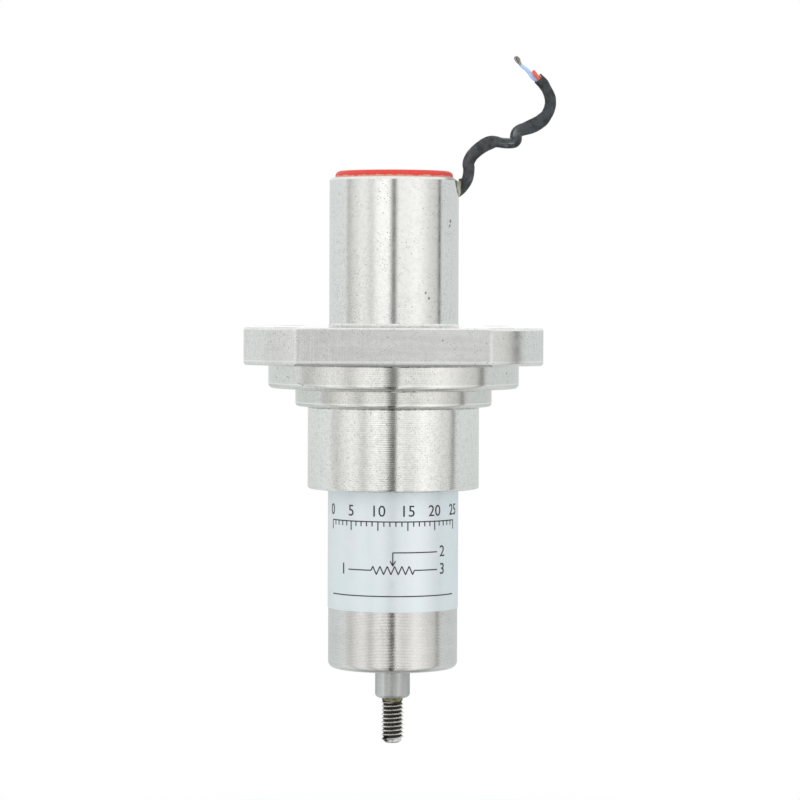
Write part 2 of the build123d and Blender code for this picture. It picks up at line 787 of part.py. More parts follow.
# Wire ends that stand out of the cable's free end, by steps from where they leave it
outer_direction = (Vector(*cable_route[-1]) - Vector(*cable_route[-2])).normalized()
outer_places = lead_places(cable_route[-1], outer_direction)
wire_steps = {
    "wire_blue": [(-2.0, 0.2, 1.0), (-3.2, 0.3, 2.35)],
    "wire_red": [(-1.25, -0.9, 1.5)],
    "wire_white": [(0.2, 0.5, 1.25)],
}
wire_end = Vector(*cable_route[-1])
for (name, steps), place in zip(wire_steps.items(), outer_places):
    run_out = place + outer_direction * wire_run_out[name]
    route = [tuple(place), tuple(run_out)] + [tuple(wire_end + Vector(*step)) for step in steps]
    wire, wire_length = bar_along(route, lead_radius)
    wire.part.label = name
    export_step(wire.part, f"parts/{name}.step")


# Bare twisted strands at the blue wire's tip
blue_bend, blue_tip = [wire_end + Vector(*step) for step in wire_steps["wire_blue"]]
blue_direction = (blue_tip - blue_bend).normalized()
with BuildPart() as bare_strands:
    with BuildSketch(Plane(origin=blue_tip, z_dir=blue_direction)):
        Circle(strand_diameter / 2)
    extrude(amount=strand_length)

bare_strands.part.label = "bare_strands"
export_step(bare_strands.part, "parts/bare_strands.step")
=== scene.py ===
import json
import math
import random
from functools import reduce

import bmesh
import bpy
from mathutils import Matrix, Vector, noise


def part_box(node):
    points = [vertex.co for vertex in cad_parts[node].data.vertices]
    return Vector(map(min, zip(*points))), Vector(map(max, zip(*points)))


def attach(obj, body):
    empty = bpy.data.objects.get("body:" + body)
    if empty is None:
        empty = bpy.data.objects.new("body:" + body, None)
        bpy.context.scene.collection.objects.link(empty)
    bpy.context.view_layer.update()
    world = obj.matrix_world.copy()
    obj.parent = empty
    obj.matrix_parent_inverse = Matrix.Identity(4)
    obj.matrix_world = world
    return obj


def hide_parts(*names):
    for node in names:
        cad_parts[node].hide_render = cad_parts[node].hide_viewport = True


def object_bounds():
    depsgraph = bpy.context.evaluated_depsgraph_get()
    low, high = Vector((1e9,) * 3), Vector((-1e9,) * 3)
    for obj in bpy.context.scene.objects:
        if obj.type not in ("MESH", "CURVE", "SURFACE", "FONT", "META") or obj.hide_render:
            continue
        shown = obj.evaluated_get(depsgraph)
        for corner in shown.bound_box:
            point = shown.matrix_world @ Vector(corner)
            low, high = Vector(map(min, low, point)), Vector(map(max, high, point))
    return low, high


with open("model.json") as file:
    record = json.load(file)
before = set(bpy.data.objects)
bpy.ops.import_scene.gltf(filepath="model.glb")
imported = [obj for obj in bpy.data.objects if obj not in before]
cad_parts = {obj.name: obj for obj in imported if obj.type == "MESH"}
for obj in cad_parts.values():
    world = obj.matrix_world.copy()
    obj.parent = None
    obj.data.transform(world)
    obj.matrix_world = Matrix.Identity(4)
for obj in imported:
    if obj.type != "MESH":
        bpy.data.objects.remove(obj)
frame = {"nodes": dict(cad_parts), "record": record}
cad_low, cad_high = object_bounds()

# Names that end in _mm or _MM hold millimetres, and other lengths are in metres
MM = 0.001


def new_object(name, data):
    """An object in the scene, with that data."""
    made = bpy.data.objects.new(name, data)
    bpy.context.scene.collection.objects.link(made)
    return made


# Camera

PHOTO_SIZE = 800
FOCAL_LENGTH_PIXELS = 3381
SENSOR_WIDTH = 36
CAMERA_PLACE = (0.00112, -0.580, 0.01192)
CAMERA_PITCH_DOWN = 1.796
CAMERA_ROLL = 0.21


def add_camera():
    """A long lens, a little above the flange, that looks along +Y."""
    data = bpy.data.cameras.new("camera")
    data.sensor_width = SENSOR_WIDTH
    data.lens = FOCAL_LENGTH_PIXELS * SENSOR_WIDTH / PHOTO_SIZE
    camera = new_object("camera", data)
    tilt = Matrix.Rotation(math.radians(90 - CAMERA_PITCH_DOWN), 4, "X")
    roll = Matrix.Rotation(math.radians(CAMERA_ROLL), 4, "Z")
    camera.matrix_world = Matrix.Translation(CAMERA_PLACE) @ tilt @ roll
    bpy.context.scene.camera = camera


# Sizes that the materials and pieces take from the frame

def low_mm(name):
    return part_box(name)[0] / MM


def high_mm(name):
    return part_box(name)[1] / MM


BARREL_WALL_MM = 1.0
BARREL_RADIUS_MM = high_mm("end_plug").x + BARREL_WALL_MM
RIM_Z_MM = high_mm("flange_body").z
FLANGE_TOP_MM = 6.3
FLANGE_HALF_SIDE_MM = high_mm("flange_body").x
FLANGE_TURNED_RADIUS_MM = 30.0
LABEL_RADIUS_MM = high_mm("label").x
LABEL_TOP_MM = high_mm("label").z
ROD_BOTTOM_MM = low_mm("rod").z
ROD_RADIUS_MM = high_mm("rod").x
STUD_BOTTOM_MM = low_mm("rod_stud").z
STUD_TOP_MM = high_mm("rod_stud").z
STUD_RADIUS_MM = high_mm("rod_stud").x


# Node trees

# The helpers add to the node tree of the material or world that was opened last
opened = []


def open_tree(owner):
    """Clears the node tree of a material or a world, and opens it."""
    owner.use_nodes = True
    owner.node_tree.nodes.clear()
    opened.append(owner)


def feed(target, value):
    """Gives an input a value, or links a socket to it."""
    if isinstance(value, bpy.types.NodeSocket):
        opened[-1].node_tree.links.new(value, target)
    else:
        target.default_value = value


def node(kind, inputs=None, **settings):
    """One shader node, with its settings, and its inputs as values or sockets."""
    made = opened[-1].node_tree.nodes.new("ShaderNode" + kind)
    for name, value in settings.items():
        setattr(made, name, value)
    for name, value in (inputs or {}).items():
        feed(made.inputs[name], value)
    return made


def maths(operation, *values, clamp=False):
    return node("Math", dict(enumerate(values)), operation=operation, use_clamp=clamp).outputs[0]


def linear(value, slope, start):
    """value * slope + start."""
    return maths("MULTIPLY_ADD", value, slope, start)


def product(*values):
    """All the values multiplied."""
    return reduce(lambda first, second: maths("MULTIPLY", first, second), values)


def greatest(*values):
    """The largest of the values."""
    return reduce(lambda first, second: maths("MAXIMUM", first, second), values)


def vector_maths(operation, *values, output="Vector"):
    return node("VectorMath", dict(enumerate(values)), operation=operation).outputs[output]


def scaled(vector, factor):
    return node("VectorMath", {0: vector, "Scale": factor}, operation="SCALE").outputs[0]


def stretch(place, x, y, z):
    """place, scaled by its own factor along each axis."""
    return vector_maths("MULTIPLY", place, (x, y, z))


def axes_of(vector):
    """The vector's three parts."""
    return list(node("SeparateXYZ", {0: vector}).outputs)


def vector_of(x=0.0, y=0.0, z=0.0):
    return node("CombineXYZ", {0: x, 1: y, 2: z}).outputs[0]


def between(value, low, high, to_low=0.0, to_high=1.0):
    """value from low to high, mapped smoothly to a new range."""
    inputs = {"Value": value, "From Min": low, "From Max": high, "To Min": to_low, "To Max": to_high}
    return node("MapRange", inputs, interpolation_type="SMOOTHSTEP").outputs[0]


def within(value, low, high, ease):
    """1 from low to high, and eased to 0 outside them."""
    return product(between(value, low - ease, low), between(value, high + ease, high))


def mix(factor, first, second, blend="MIX"):
    made = node("Mix", data_type="RGBA", blend_type=blend)
    feed(made.inputs[0], factor)
    for index, value in ((6, first), (7, second)):
        feed(made.inputs[index], (*value, 1) if isinstance(value, tuple) else value)
    return made.outputs[2]


def tinted(colour, tint):
    """A colour multiplied by another colour, or by a brightness."""
    return mix(1.0, colour, tint, blend="MULTIPLY")


def ramp_of(value, stops):
    """A colour ramp with those (place from 0 to 1, colour) stops, fed by value."""
    ramp = node("ValToRGB", {0: value})
    elements = ramp.color_ramp.elements
    while len(elements) > 1:
        elements.remove(elements[-1])
    for index, (place, colour) in enumerate(stops):
        element = elements[0] if index == 0 else elements.new(place)
        element.position = place
        element.color = (*colour, 1)
    return ramp.outputs[0]


def noise_at(place, scale, detail=2.0, roughness=0.5):
    inputs = {"Vector": place, "Scale": scale, "Detail": detail, "Roughness": roughness}
    return node("TexNoise", inputs).outputs["Fac"]


def around_axis(place):
    """Radius, angle and height of a place about the Z axis."""
    x, y, z = axes_of(place)
    radius = maths("SQRT", maths("ADD", product(x, x), product(y, y)))
    return radius, maths("ARCTAN2", y, x), z


def open_material(name):
    """Opens a new material, and gives the place on the object, in its own frame and in millimetres."""
    open_tree(bpy.data.materials.new(name))
    return scaled(node("TexCoord").outputs["Object"], 1 / MM)


def finish_material(colour, roughness, height, depth_mm, **inputs):
    """The open material, with its shader and output. height is a bump of that depth."""
    bump = node("Bump", {"Height": height, "Distance": depth_mm * MM, "Strength": 1.0}).outputs[0]
    textures = {"Base Color": colour, "Roughness": roughness, "Normal": bump}
    plain = {name.replace("_", " "): value for name, value in inputs.items()}
    node("OutputMaterial", {0: node("BsdfPrincipled", {**textures, **plain}).outputs[0]})
    return opened[-1]


# Pits and scratches in the steel

PITS_MM = [
    # centre, then radius
    ((9.55, -5.65, 24.3), 0.42), ((9.45, -5.8, 23.5), 0.34), ((9.35, -6.0, 19.5), 0.13),
    ((5.4, -9.7, 12.1), 0.28), ((5.95, -9.37, 11.2), 0.33), ((8.7, -6.9, 9.5), 0.13),
    ((6.2, -9.2, 8.1), 0.12), ((8.1, -25.0, 4.3), 0.18), ((19.1, -9.9, -1.4), 0.24),
    ((-19.6, -8.8, -0.7), 0.20), ((-15.2, -7.0, -4.9), 0.16), ((-6.2, -9.2, 27.3), 0.12),
    ((3.1, -10.66, 9.7), 0.13), ((-8.4, -7.3, 17.6), 0.12), ((10.6, -10.1, -11.8), 0.13),
    ((-3.9, -14.1, -16.9), 0.12),
]
SCRATCHES_MM = [
    # one end, the other end, then half the width
    ((-19.9, -8.2, -2.2), (-15.6, -14.8, -3.2), 0.11), ((-17.9, -11.9, -2.0), (-15.0, -15.4, -3.4), 0.10),
    ((-2.6, -14.4, -19.2), (-1.4, -14.6, -19.6), 0.08), ((-0.5, -14.6, -19.8), (0.8, -14.6, -19.1), 0.09),
    ((8.4, -7.3, -42.1), (9.7, -5.4, -43.6), 0.05), ((8.4, -7.3, -42.1), (8.1, -7.6, -43.0), 0.05),
    ((-12.9, -7.1, -5.6), (-10.6, -13.1, -6.2), 0.09),
]
# Share of a pit's radius, and of a scratch's half width, that has the full depth
PIT_CORE = 0.4
SCRATCH_CORE = 0.3


def pit(place, centre, radius):
    """1 inside a small round dent."""
    away = vector_maths("DISTANCE", place, centre, output="Value")
    return between(away, radius, PIT_CORE * radius)


def scratch(place, start, end, half_width):
    """1 along a fine line between two places."""
    run = Vector(end) - Vector(start)
    from_start = vector_maths("SUBTRACT", place, start)
    along = vector_maths("DOT_PRODUCT", from_start, tuple(run / run.length_squared), output="Value")
    share = greatest(maths("MINIMUM", along, 1.0), 0.0)
    away = vector_maths("DISTANCE", from_start, scaled(tuple(run), share), output="Value")
    return between(away, half_width, SCRATCH_CORE * half_width)


def single_marks(place):
    """The strongest of the listed pits and scratches."""
    marks = [pit(place, *one) for one in PITS_MM]
    marks += [scratch(place, *one) for one in SCRATCHES_MM]
    return greatest(*marks)


def specks(place, cell_mm, radius_mm, share):
    """1 inside small round pits, which are in that share of the cells."""
    cells = node("TexVoronoi", {"Vector": place, "Scale": 1 / cell_mm, "Randomness": 1.0})
    reach = radius_mm / cell_mm
    round_pit = between(cells.outputs["Distance"], reach, PIT_CORE * reach)
    pick = node("SeparateColor", {0: cells.outputs["Color"]}).outputs[0]
    return product(round_pit, maths("LESS_THAN", pick, share))


def steel_marks(place, rubbed_side, wear):
    """From 0 to 1 in the pits and scratches, with more fine dust on the rubbed side."""
    pits = specks(place, cell_mm=0.95, radius_mm=0.16, share=0.22)
    pepper = specks(place, cell_mm=0.40, radius_mm=0.13, share=0.55)
    dust = specks(place, cell_mm=0.30, radius_mm=0.11, share=0.6)
    clusters = between(noise_at(place, 0.20, detail=1.0), 0.42, 0.60)
    scattered = greatest(pits, product(pepper, clusters))
    return greatest(product(scattered, 0.62 * wear), single_marks(place),
                    product(dust, rubbed_side, 0.30 * wear))


# Machined steel

FEED_MM = 0.36
TUBE_FEED_MM = 0.25
RINGS_AND_GRAIN = 1.2
FLAT_TONES = ((0.80, 0.81, 0.80), (0.86, 0.87, 0.855))
CUTTER_GROOVE = (0.66, 0.66, 0.67)
CORNER_HIGHLIGHT = (1.0, 1.0, 0.99)
DULL_PATCH = (0.68, 0.69, 0.70)
GLINT = (0.99, 0.99, 0.98)
# Colour of the painted shade in the inner corners
CORNER_SHADE = (0.22, 0.22, 0.22)
DARK_MARK = (0.20, 0.19, 0.18)
# Heights of the edges whose chamfers get a painted highlight line
HIGHLIGHT_EDGES_MM = [0.72, -3.35, -6.62]
EDGE_HIGHLIGHT = (1.0, 1.0, 0.985)
# The spigot and the step, just under the flange, are tinted darker, and the nose lighter
STEPS_MM = (-7.2, -0.2)
NOSE_MM = (-21.5, -7.5)
SPIGOT_TINT = (0.955, 0.950, 0.935)
STEP_TINT = (0.90, 0.895, 0.875)
NOSE_TINT = (1.09, 1.09, 1.08)
BAND_EASE_MM = 0.3
CORNERS_MM = [
    # radius and height of the corners where one turned step stands on the next
    (BARREL_RADIUS_MM, FLANGE_TOP_MM), (21.5, 0.0), (16.75, -4.2), (14.7, -7.3), (LABEL_RADIUS_MM, -21.45),
]


def turning_lines(place, feed_mm, ring_share=0.6):
    """Height from 0 to 1 of the fine rings that a cutting tool leaves, and a broad unevenness."""
    radius, angle, height = around_axis(place)
    along = maths("ADD", radius, height)
    drift = product(noise_at(place, 0.35), 3.0)
    phase = linear(along, math.tau / feed_mm, drift)
    ring = linear(maths("SINE", phase), 0.5, 0.5)
    swept = vector_of(radius, product(angle, 0.25), height)
    fine = noise_at(stretch(swept, 6, 1, 6), 1.0, detail=3.0)
    uneven = noise_at(stretch(swept, 0.5, 1.5, 0.5), 1.0)
    rings = product(ring, uneven, ring_share)
    return linear(fine, RINGS_AND_GRAIN - ring_share, rings), uneven


def milled_flat(place):
    """1 on the flange's four milled sides."""
    side = FLANGE_HALF_SIDE_MM - 0.05
    across, along, _ = [maths("ABSOLUTE", part) for part in axes_of(place)]
    return greatest(maths("GREATER_THAN", across, side), maths("GREATER_THAN", along, side))


def cutter_marks(place):
    """Height from 0 to 1 of the upright marks that a milling cutter leaves, stronger towards -X."""
    grooves = noise_at(stretch(place, 4.5, 4.5, 0.10), 1.0, detail=1.0)
    strength = between(axes_of(place)[0], -11.0, -5.0, 1.0, 0.16)
    depth = maths("SUBTRACT", between(grooves, 0.38, 0.62), 1.0)
    return linear(depth, strength, 1.0)


def corner_grime(radius, height):
    """1 in the inner corners between the turned steps, for painted shade there."""
    here = vector_of(radius, height)
    away = [vector_maths("DISTANCE", here, (*corner, 0), output="Value") for corner in CORNERS_MM]
    return greatest(*(between(distance, 0.38, 0.10) for distance in away))


def bright_edges(height):
    """1 in a thin line along each of those edges, for a painted highlight."""
    away = [maths("ABSOLUTE", maths("SUBTRACT", height, edge)) for edge in HIGHLIGHT_EDGES_MM]
    return greatest(*(between(distance, 0.17, 0.07) for distance in away))


def tint_band(colour, height, band_mm, tint):
    """The colour, tinted between two heights."""
    return mix(within(height, *band_mm, BAND_EASE_MM), colour, tinted(colour, tint))


def flat_tone(place, radius, cut):
    """The milled sides' tone, with the cutter's grooves and a painted highlight line at the corners."""
    wiped = noise_at(stretch(place, 0.10, 0.10, 1.1), 1.0)
    plain = mix(between(wiped, 0.35, 0.65), *FLAT_TONES)
    grooved = mix(linear(cut, -0.45, 0.45), plain, CUTTER_GROOVE)
    # Painted highlight along the flats' ends, where they meet the turned corners
    highlight_at_corner = between(radius, FLANGE_TURNED_RADIUS_MM - 0.50, FLANGE_TURNED_RADIUS_MM - 0.25)
    return mix(highlight_at_corner, grooved, CORNER_HIGHLIGHT)


def steel_roughness(place, radius, flat, uneven, finest):
    """Finest on the turned faces, and coarser on the milled sides, the rim and the flange's corners."""
    x, _, height = axes_of(place)
    on_rim = between(height, RIM_Z_MM - 0.5, RIM_Z_MM - 0.3)
    on_corners = between(radius, 25.5, 26.5)
    corner = between(x, -5.0, 5.0, 0.20, 0.04)
    coarser = greatest(product(flat, 0.30), product(on_rim, 0.22),
                       product(on_corners, corner))
    return maths("ADD", between(uneven, 0.3, 0.7, finest, finest + 0.05), coarser)


def machined_steel(name, lines_depth_mm=0.005, finest=0.085, feed_mm=FEED_MM,
                   dark=(0.84, 0.84, 0.83), light=(0.92, 0.92, 0.905), ring_share=0.6, wear=1.0):
    """Turned all over, with milled flats on the flange's four sides, small pits and scratches."""
    place = open_material(name)
    radius, _, height = around_axis(place)
    lines, uneven = turning_lines(place, feed_mm, ring_share)
    shallower = between(height, -6.0, 2.0, 1.0, 0.3)
    lines = linear(maths("SUBTRACT", lines, 0.5), shallower, 0.5)
    slanting = linear(height, 0.5, axes_of(place)[0])
    rubbed_side = between(slanting, 12.0, -2.0)
    marks = steel_marks(place, rubbed_side, wear)
    flat = milled_flat(place)
    cut = cutter_marks(place)
    grain = noise_at(place, 1.3, detail=4.0, roughness=0.6)

    turned = tint_band(mix(lines, dark, light), height, NOSE_MM, NOSE_TINT)
    colour = mix(flat, turned, flat_tone(place, radius, cut))
    colour = mix(between(grain, 0.42, 0.72, 0.0, 0.4), colour, DULL_PATCH)
    salt = between(noise_at(place, 4.2, roughness=0.7), 0.30, 0.70, 0.88, 1.05)
    salted = linear(rubbed_side, 0.65 * wear, 0.35 * wear)
    colour = mix(salted, colour, salt, blend="MULTIPLY")
    steps_tint = mix(between(height, -3.9, -4.3), SPIGOT_TINT, STEP_TINT)
    colour = tint_band(colour, height, STEPS_MM, steps_tint)
    # Painted highlight lines along the chamfered edges of the flange, spigot and step
    colour = mix(product(bright_edges(height), 0.8), colour, EDGE_HIGHLIGHT)
    # Painted shade in the inner corners, mottled by the grain
    shade_in_corners = product(corner_grime(radius, height), between(grain, 0.3, 0.6, 0.45, 0.95))
    colour = mix(shade_in_corners, colour, CORNER_SHADE)
    # Mirrored in Z, so that the glints lie elsewhere than the specks of the same noise
    glints = specks(stretch(place, 1.0, 1.0, -1.0), cell_mm=0.46, radius_mm=0.13, share=0.35)
    colour = mix(product(glints, 0.6), colour, GLINT)
    colour = mix(product(marks, 0.85), colour, DARK_MARK)

    cut_or_turned = node("Mix", {0: flat, 2: lines, 3: cut}, data_type="FLOAT").outputs[0]
    relief = linear(marks, -1.5, cut_or_turned)
    roughness = steel_roughness(place, radius, flat, uneven, finest)
    return finish_material(colour, roughness, relief, lines_depth_mm, Metallic=1.0)


# Other metals

ROD_REFLECTION_BANDS = [
    # painted reflection bands: place across the rod, 0 at its -X side and 1 at its +X side, then how light it
    # is there
    (0.0, 0.93), (0.12, 0.87), (0.24, 0.98), (0.34, 0.77), (0.46, 0.69), (0.58, 0.67), (0.65, 0.77),
    (0.74, 0.87), (0.84, 0.83), (0.92, 0.71), (1.0, 0.68),
]
# Brightness factor on the rod's painted reflection bands
ROD_TONE_SCALE = 1.3
STUD_NICK_MM = (-1.28, -1.12, -64.48)
STUD_NICK_RADIUS_MM = 1.0
DARK_GROOVE_TONES = ((0.035, 0.033, 0.026), (0.13, 0.12, 0.10))
CREST_TONES = ((0.66, 0.65, 0.62), (0.98, 0.975, 0.96))
NICK = (0.02, 0.02, 0.02)


def fine_steel(name, light, dark, roughness, feed_mm, streaks=0.0, reflection_bands=None):
    """A smoother metal with fine rings, a broad unevenness, streaks along its length, and, where given,
    painted reflection bands across it.
    """
    place = open_material(name)
    lines, uneven = turning_lines(place, feed_mm)
    _, angle, height = around_axis(place)
    drawn = vector_of(product(angle, 2.3), 0.0, product(height, 0.05))
    streak = between(noise_at(drawn, 1.0, detail=3.0), 0.35, 0.65, -streaks, streaks)
    colour = mix(maths("ADD", lines, streak, clamp=True), dark, light)
    if reflection_bands:
        # Painted reflection bands: lighter and darker stripes fixed across the rod
        share = linear(axes_of(place)[0], 1 / (2 * ROD_RADIUS_MM), 0.5)
        painted_light = ramp_of(share, [(at, (tone, tone, tone)) for at, tone in reflection_bands])
        colour = scaled(vector_maths("MULTIPLY", colour, painted_light), ROD_TONE_SCALE)
    uneven_roughness = between(uneven, 0.3, 0.7, roughness - 0.04, roughness + 0.06)
    return finish_material(colour, uneven_roughness, lines, 0.002, Metallic=1.0)


def thread_steel():
    """Bright crests and near-black grooves, told apart by their distance from the axis."""
    place = open_material("stud_steel")
    radius, _, height = around_axis(place)
    smudge = noise_at(place, 3.0, detail=3.0)
    level = maths("ADD", radius, linear(smudge, 0.22, -0.11))
    crest = between(level, STUD_RADIUS_MM - 0.30, STUD_RADIUS_MM - 0.08)
    bright_tip = between(height, STUD_BOTTOM_MM + 1.10, STUD_BOTTOM_MM + 0.70)
    below_neck = between(height, ROD_BOTTOM_MM - 0.55, ROD_BOTTOM_MM - 0.65)
    bright = product(greatest(crest, bright_tip), below_neck)
    groove_tone = mix(smudge, *DARK_GROOVE_TONES)
    crest_tone = mix(between(smudge, 0.35, 0.65), *CREST_TONES)
    grimy = mix(bright, groove_tone, crest_tone)
    colour = mix(pit(place, STUD_NICK_MM, STUD_NICK_RADIUS_MM), grimy, NICK)
    return finish_material(colour, between(bright, 0, 1, 0.5, 0.22), smudge, 0.01, Metallic=1.0)


# Plastics, rubbers, prints and cloth

PLUG_TONES = ((0.66, 0.052, 0.042), (0.76, 0.070, 0.056))
PLUG_DUST = (0.70, 0.50, 0.38)
CLOTH_TONES = ((0.024, 0.026, 0.027), (0.072, 0.081, 0.086))
# Colour of the painted highlight streaks at the sleeve's kink
KINK_HIGHLIGHT = (0.24, 0.255, 0.265)
LINT = (0.17, 0.18, 0.17)


def mottled(name, light, dark, roughness, grain_mm, depth_mm, metallic=0.0):
    """A moulded, printed or rubbery surface: two close colours in a fine grain."""
    place = open_material(name)
    grain = noise_at(place, 1 / grain_mm, detail=3.0)
    broad = noise_at(place, 0.15 / grain_mm, detail=1.0)
    tone = linear(grain, 0.5, product(broad, 0.5))
    colour = mix(between(tone, 0.3, 0.7), dark, light)
    uneven_roughness = between(grain, 0.2, 0.8, roughness - 0.06, roughness + 0.06)
    return finish_material(colour, uneven_roughness, grain, depth_mm, Metallic=metallic)


def plug_plastic():
    """Moulded red with a fine grain, and pale dust that has settled where it meets the rim."""
    place = open_material("red_plastic")
    grain = noise_at(place, 2.0, detail=3.0)
    ragged = linear(noise_at(place, 1.1, detail=3.0), 0.7, -0.12)
    above = maths("SUBTRACT", axes_of(place)[2], ragged)
    dust = between(above, RIM_Z_MM + 0.15, RIM_Z_MM - 0.02)
    red = mix(between(grain, 0.3, 0.7), *PLUG_TONES)
    colour = mix(product(dust, 0.70), red, PLUG_DUST)
    uneven_roughness = between(grain, 0.2, 0.8, 0.40, 0.56)
    return finish_material(colour, uneven_roughness, grain, 0.01, Specular_IOR_Level=0.35)


def sleeve_fabric():
    """A dark woven sleeve: crossed fine threads, lint, a soft sheen, and painted highlight streaks at its
    kink.
    """
    place = open_material("black_sleeve")
    along = node("UVMap", uv_map="tube").outputs[0]
    threads = []
    for side in (-1, 1):
        inputs = {"Vector": stretch(along, 3.2, side * 9.0, 1), "Scale": 1.0, "Distortion": 0.6}
        wave = node("TexWave", inputs, wave_type="BANDS", bands_direction="DIAGONAL")
        threads.append(wave.outputs["Fac"])
    lint = between(noise_at(place, 2.6, detail=4.0, roughness=0.7), 0.55, 0.70)
    broad = noise_at(place, 0.50, detail=3.0, roughness=0.6)
    cloth = mix(between(broad, 0.34, 0.66), *CLOTH_TONES)
    length = axes_of(along)[0]
    # Lighter near the sleeve's start and darker further along
    graded = tinted(cloth, between(length, 3.0, 24.0, 1.25, 0.84))
    # Painted highlight streaks where the sleeve is kinked
    folded = within(length, 15.0, 17.8, ease=1.8)
    streaks = noise_at(stretch(along, 0.45, 9.0, 1), 1.0, detail=3.0)
    kink_highlights = product(folded, between(streaks, 0.46, 0.66), 0.75)
    painted_light = mix(kink_highlights, graded, KINK_HIGHLIGHT)
    colour = mix(product(lint, 0.40), painted_light, LINT)
    height = linear(lint, 0.8, product(greatest(*threads), 0.5))
    return finish_material(colour, between(broad, 0.3, 0.7, 0.50, 0.72), height, 0.05,
                           Sheen_Weight=0.08, Sheen_Roughness=0.35, Specular_IOR_Level=0.28)


FINE_STEELS = {
    # slot: light and dark colour, roughness, feed in millimetres, then streaks and painted reflection bands
    # across the rod
    "ground_steel": ((0.64, 0.65, 0.65), (0.42, 0.43, 0.43), 0.36, 0.15, 0.32, ROD_REFLECTION_BANDS),
    "spring_steel": ((0.50, 0.50, 0.51), (0.38, 0.38, 0.39), 0.30, 0.10),
    "wiper_metal": ((0.90, 0.78, 0.52), (0.78, 0.64, 0.38), 0.22, 0.20),
}
MOTTLED = {
    # slot: light and dark colour, roughness, the grain's size and depth in millimetres, how metallic
    "bronze": ((0.72, 0.52, 0.28), (0.48, 0.32, 0.14), 0.38, 0.25, 0.006, 1.0),
    "tinned_copper": ((0.56, 0.545, 0.53), (0.26, 0.245, 0.235), 0.36, 0.20, 0.004, 1.0),
    "black_rubber": ((0.035, 0.035, 0.036), (0.018, 0.018, 0.018), 0.62, 0.20, 0.008),
    "black_moulding": ((0.060, 0.060, 0.064), (0.035, 0.035, 0.038), 0.50, 0.30, 0.006),
    "board_laminate": ((0.26, 0.36, 0.20), (0.15, 0.24, 0.11), 0.42, 0.35, 0.004),
    "track_ink": ((0.030, 0.030, 0.032), (0.012, 0.012, 0.014), 0.50, 0.15, 0.002),
    "silver_label": ((0.83, 0.86, 0.90), (0.77, 0.86, 0.885), 0.36, 2.5, 0.001, 0.62),
    "beige_sealant": ((0.60, 0.58, 0.44), (0.22, 0.21, 0.15), 0.42, 0.30, 0.05),
    "olive_sealant": ((0.38, 0.37, 0.22), (0.10, 0.09, 0.03), 0.35, 0.20, 0.03),
    "blue_insulation": ((0.36, 0.47, 0.86), (0.50, 0.72, 0.86), 0.34, 0.55, 0.004),
    "red_insulation": ((0.84, 0.15, 0.085), (0.70, 0.085, 0.05), 0.40, 0.40, 0.004),
    "white_insulation": ((0.90, 0.90, 0.88), (0.80, 0.79, 0.76), 0.40, 0.40, 0.004),
}


def all_materials():
    """One procedural material for each of the record's material slots."""
    made = {name: mottled(name, *values) for name, values in MOTTLED.items()}
    made.update({name: fine_steel(name, *values) for name, values in FINE_STEELS.items()})
    made["machined_steel"] = machined_steel("machined_steel")
    made["stud_steel"] = thread_steel()
    made["red_plastic"] = plug_plastic()
    made["black_sleeve"] = sleeve_fabric()
    return made


def dress_frame(materials):
    """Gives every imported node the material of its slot, and the tube its own coarser turning."""
    for part in frame["record"]["subparts"]:
        for slot in frame["nodes"][part["node"]].material_slots:
            slot.material = materials[part["material_slot"]]
    turned_tube = machined_steel("turned_tube", lines_depth_mm=0.016, finest=0.10, feed_mm=TUBE_FEED_MM,
                                 dark=(0.70, 0.69, 0.675), light=(0.97, 0.965, 0.95),
                                 ring_share=0.9, wear=0.4)
    frame["nodes"]["sensor_tube"].material_slots[0].material = turned_tube


# Meshes

def add_piece(name, points, faces, materials, slot, body):
    """A smooth mesh piece that rides on a body and takes its finish from a slot."""
    mesh = bpy.data.meshes.new(name)
    mesh.from_pydata([tuple(point) for point in points], [], faces)
    mesh.validate()
    mesh.update()
    mesh.shade_smooth()
    mesh.materials.append(materials[slot])
    piece = new_object(name, mesh)
    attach(piece, body)
    return piece


def mesh_of_curve(curve):
    """The curve as a mesh, in place of the curve."""
    holder = new_object(curve.name, curve)
    mesh = bpy.data.meshes.new_from_object(holder)
    bpy.data.objects.remove(holder)
    bpy.data.curves.remove(curve)
    return mesh


def smooth_path(name, points_mm, resolution=24):
    """Points along the NURBS spline of order 3 whose control points are given, in metres."""
    curve = bpy.data.curves.new(name, "CURVE")
    curve.dimensions = "3D"
    curve.resolution_u = resolution
    spline = curve.splines.new("NURBS")
    spline.points.add(len(points_mm) - 1)
    for point, place in zip(spline.points, points_mm):
        point.co = (*(value * MM for value in place), 1)
    spline.order_u = 3
    spline.use_endpoint_u = True
    line = mesh_of_curve(curve)
    path = [vertex.co.copy() for vertex in line.vertices]
    bpy.data.meshes.remove(line)
    return path


def frames_along(path, first_side):
    """Each point with its tangent, side and up, which turn no more than the path does."""
    frames = []
    side = Vector(first_side)
    for index, place in enumerate(path):
        before = path[max(index - 1, 0)]
        after = path[min(index + 1, len(path) - 1)]
        tangent = (after - before).normalized()
        side = (side - tangent * side.dot(tangent)).normalized()
        frames.append((place, tangent, side, tangent.cross(side)))
    return frames


def lengths_along(path):
    """Distance of each point from the first, along the path."""
    total = [0.0]
    for before, after in zip(path, path[1:]):
        total.append(total[-1] + (after - before).length)
    return total


def rings_to_faces(rings, around, first=0, closed=True):
    """Quads between rings of the same number of points, and flat ends if closed."""
    faces = []
    for ring in range(rings - 1):
        for step in range(around):
            a = first + ring * around + step
            b = first + ring * around + (step + 1) % around
            faces.append((a, b, b + around, a + around))
    if closed:
        last = first + (rings - 1) * around
        faces.append(tuple(first + step for step in reversed(range(around))))
        faces.append(tuple(range(last, last + around)))
    return faces


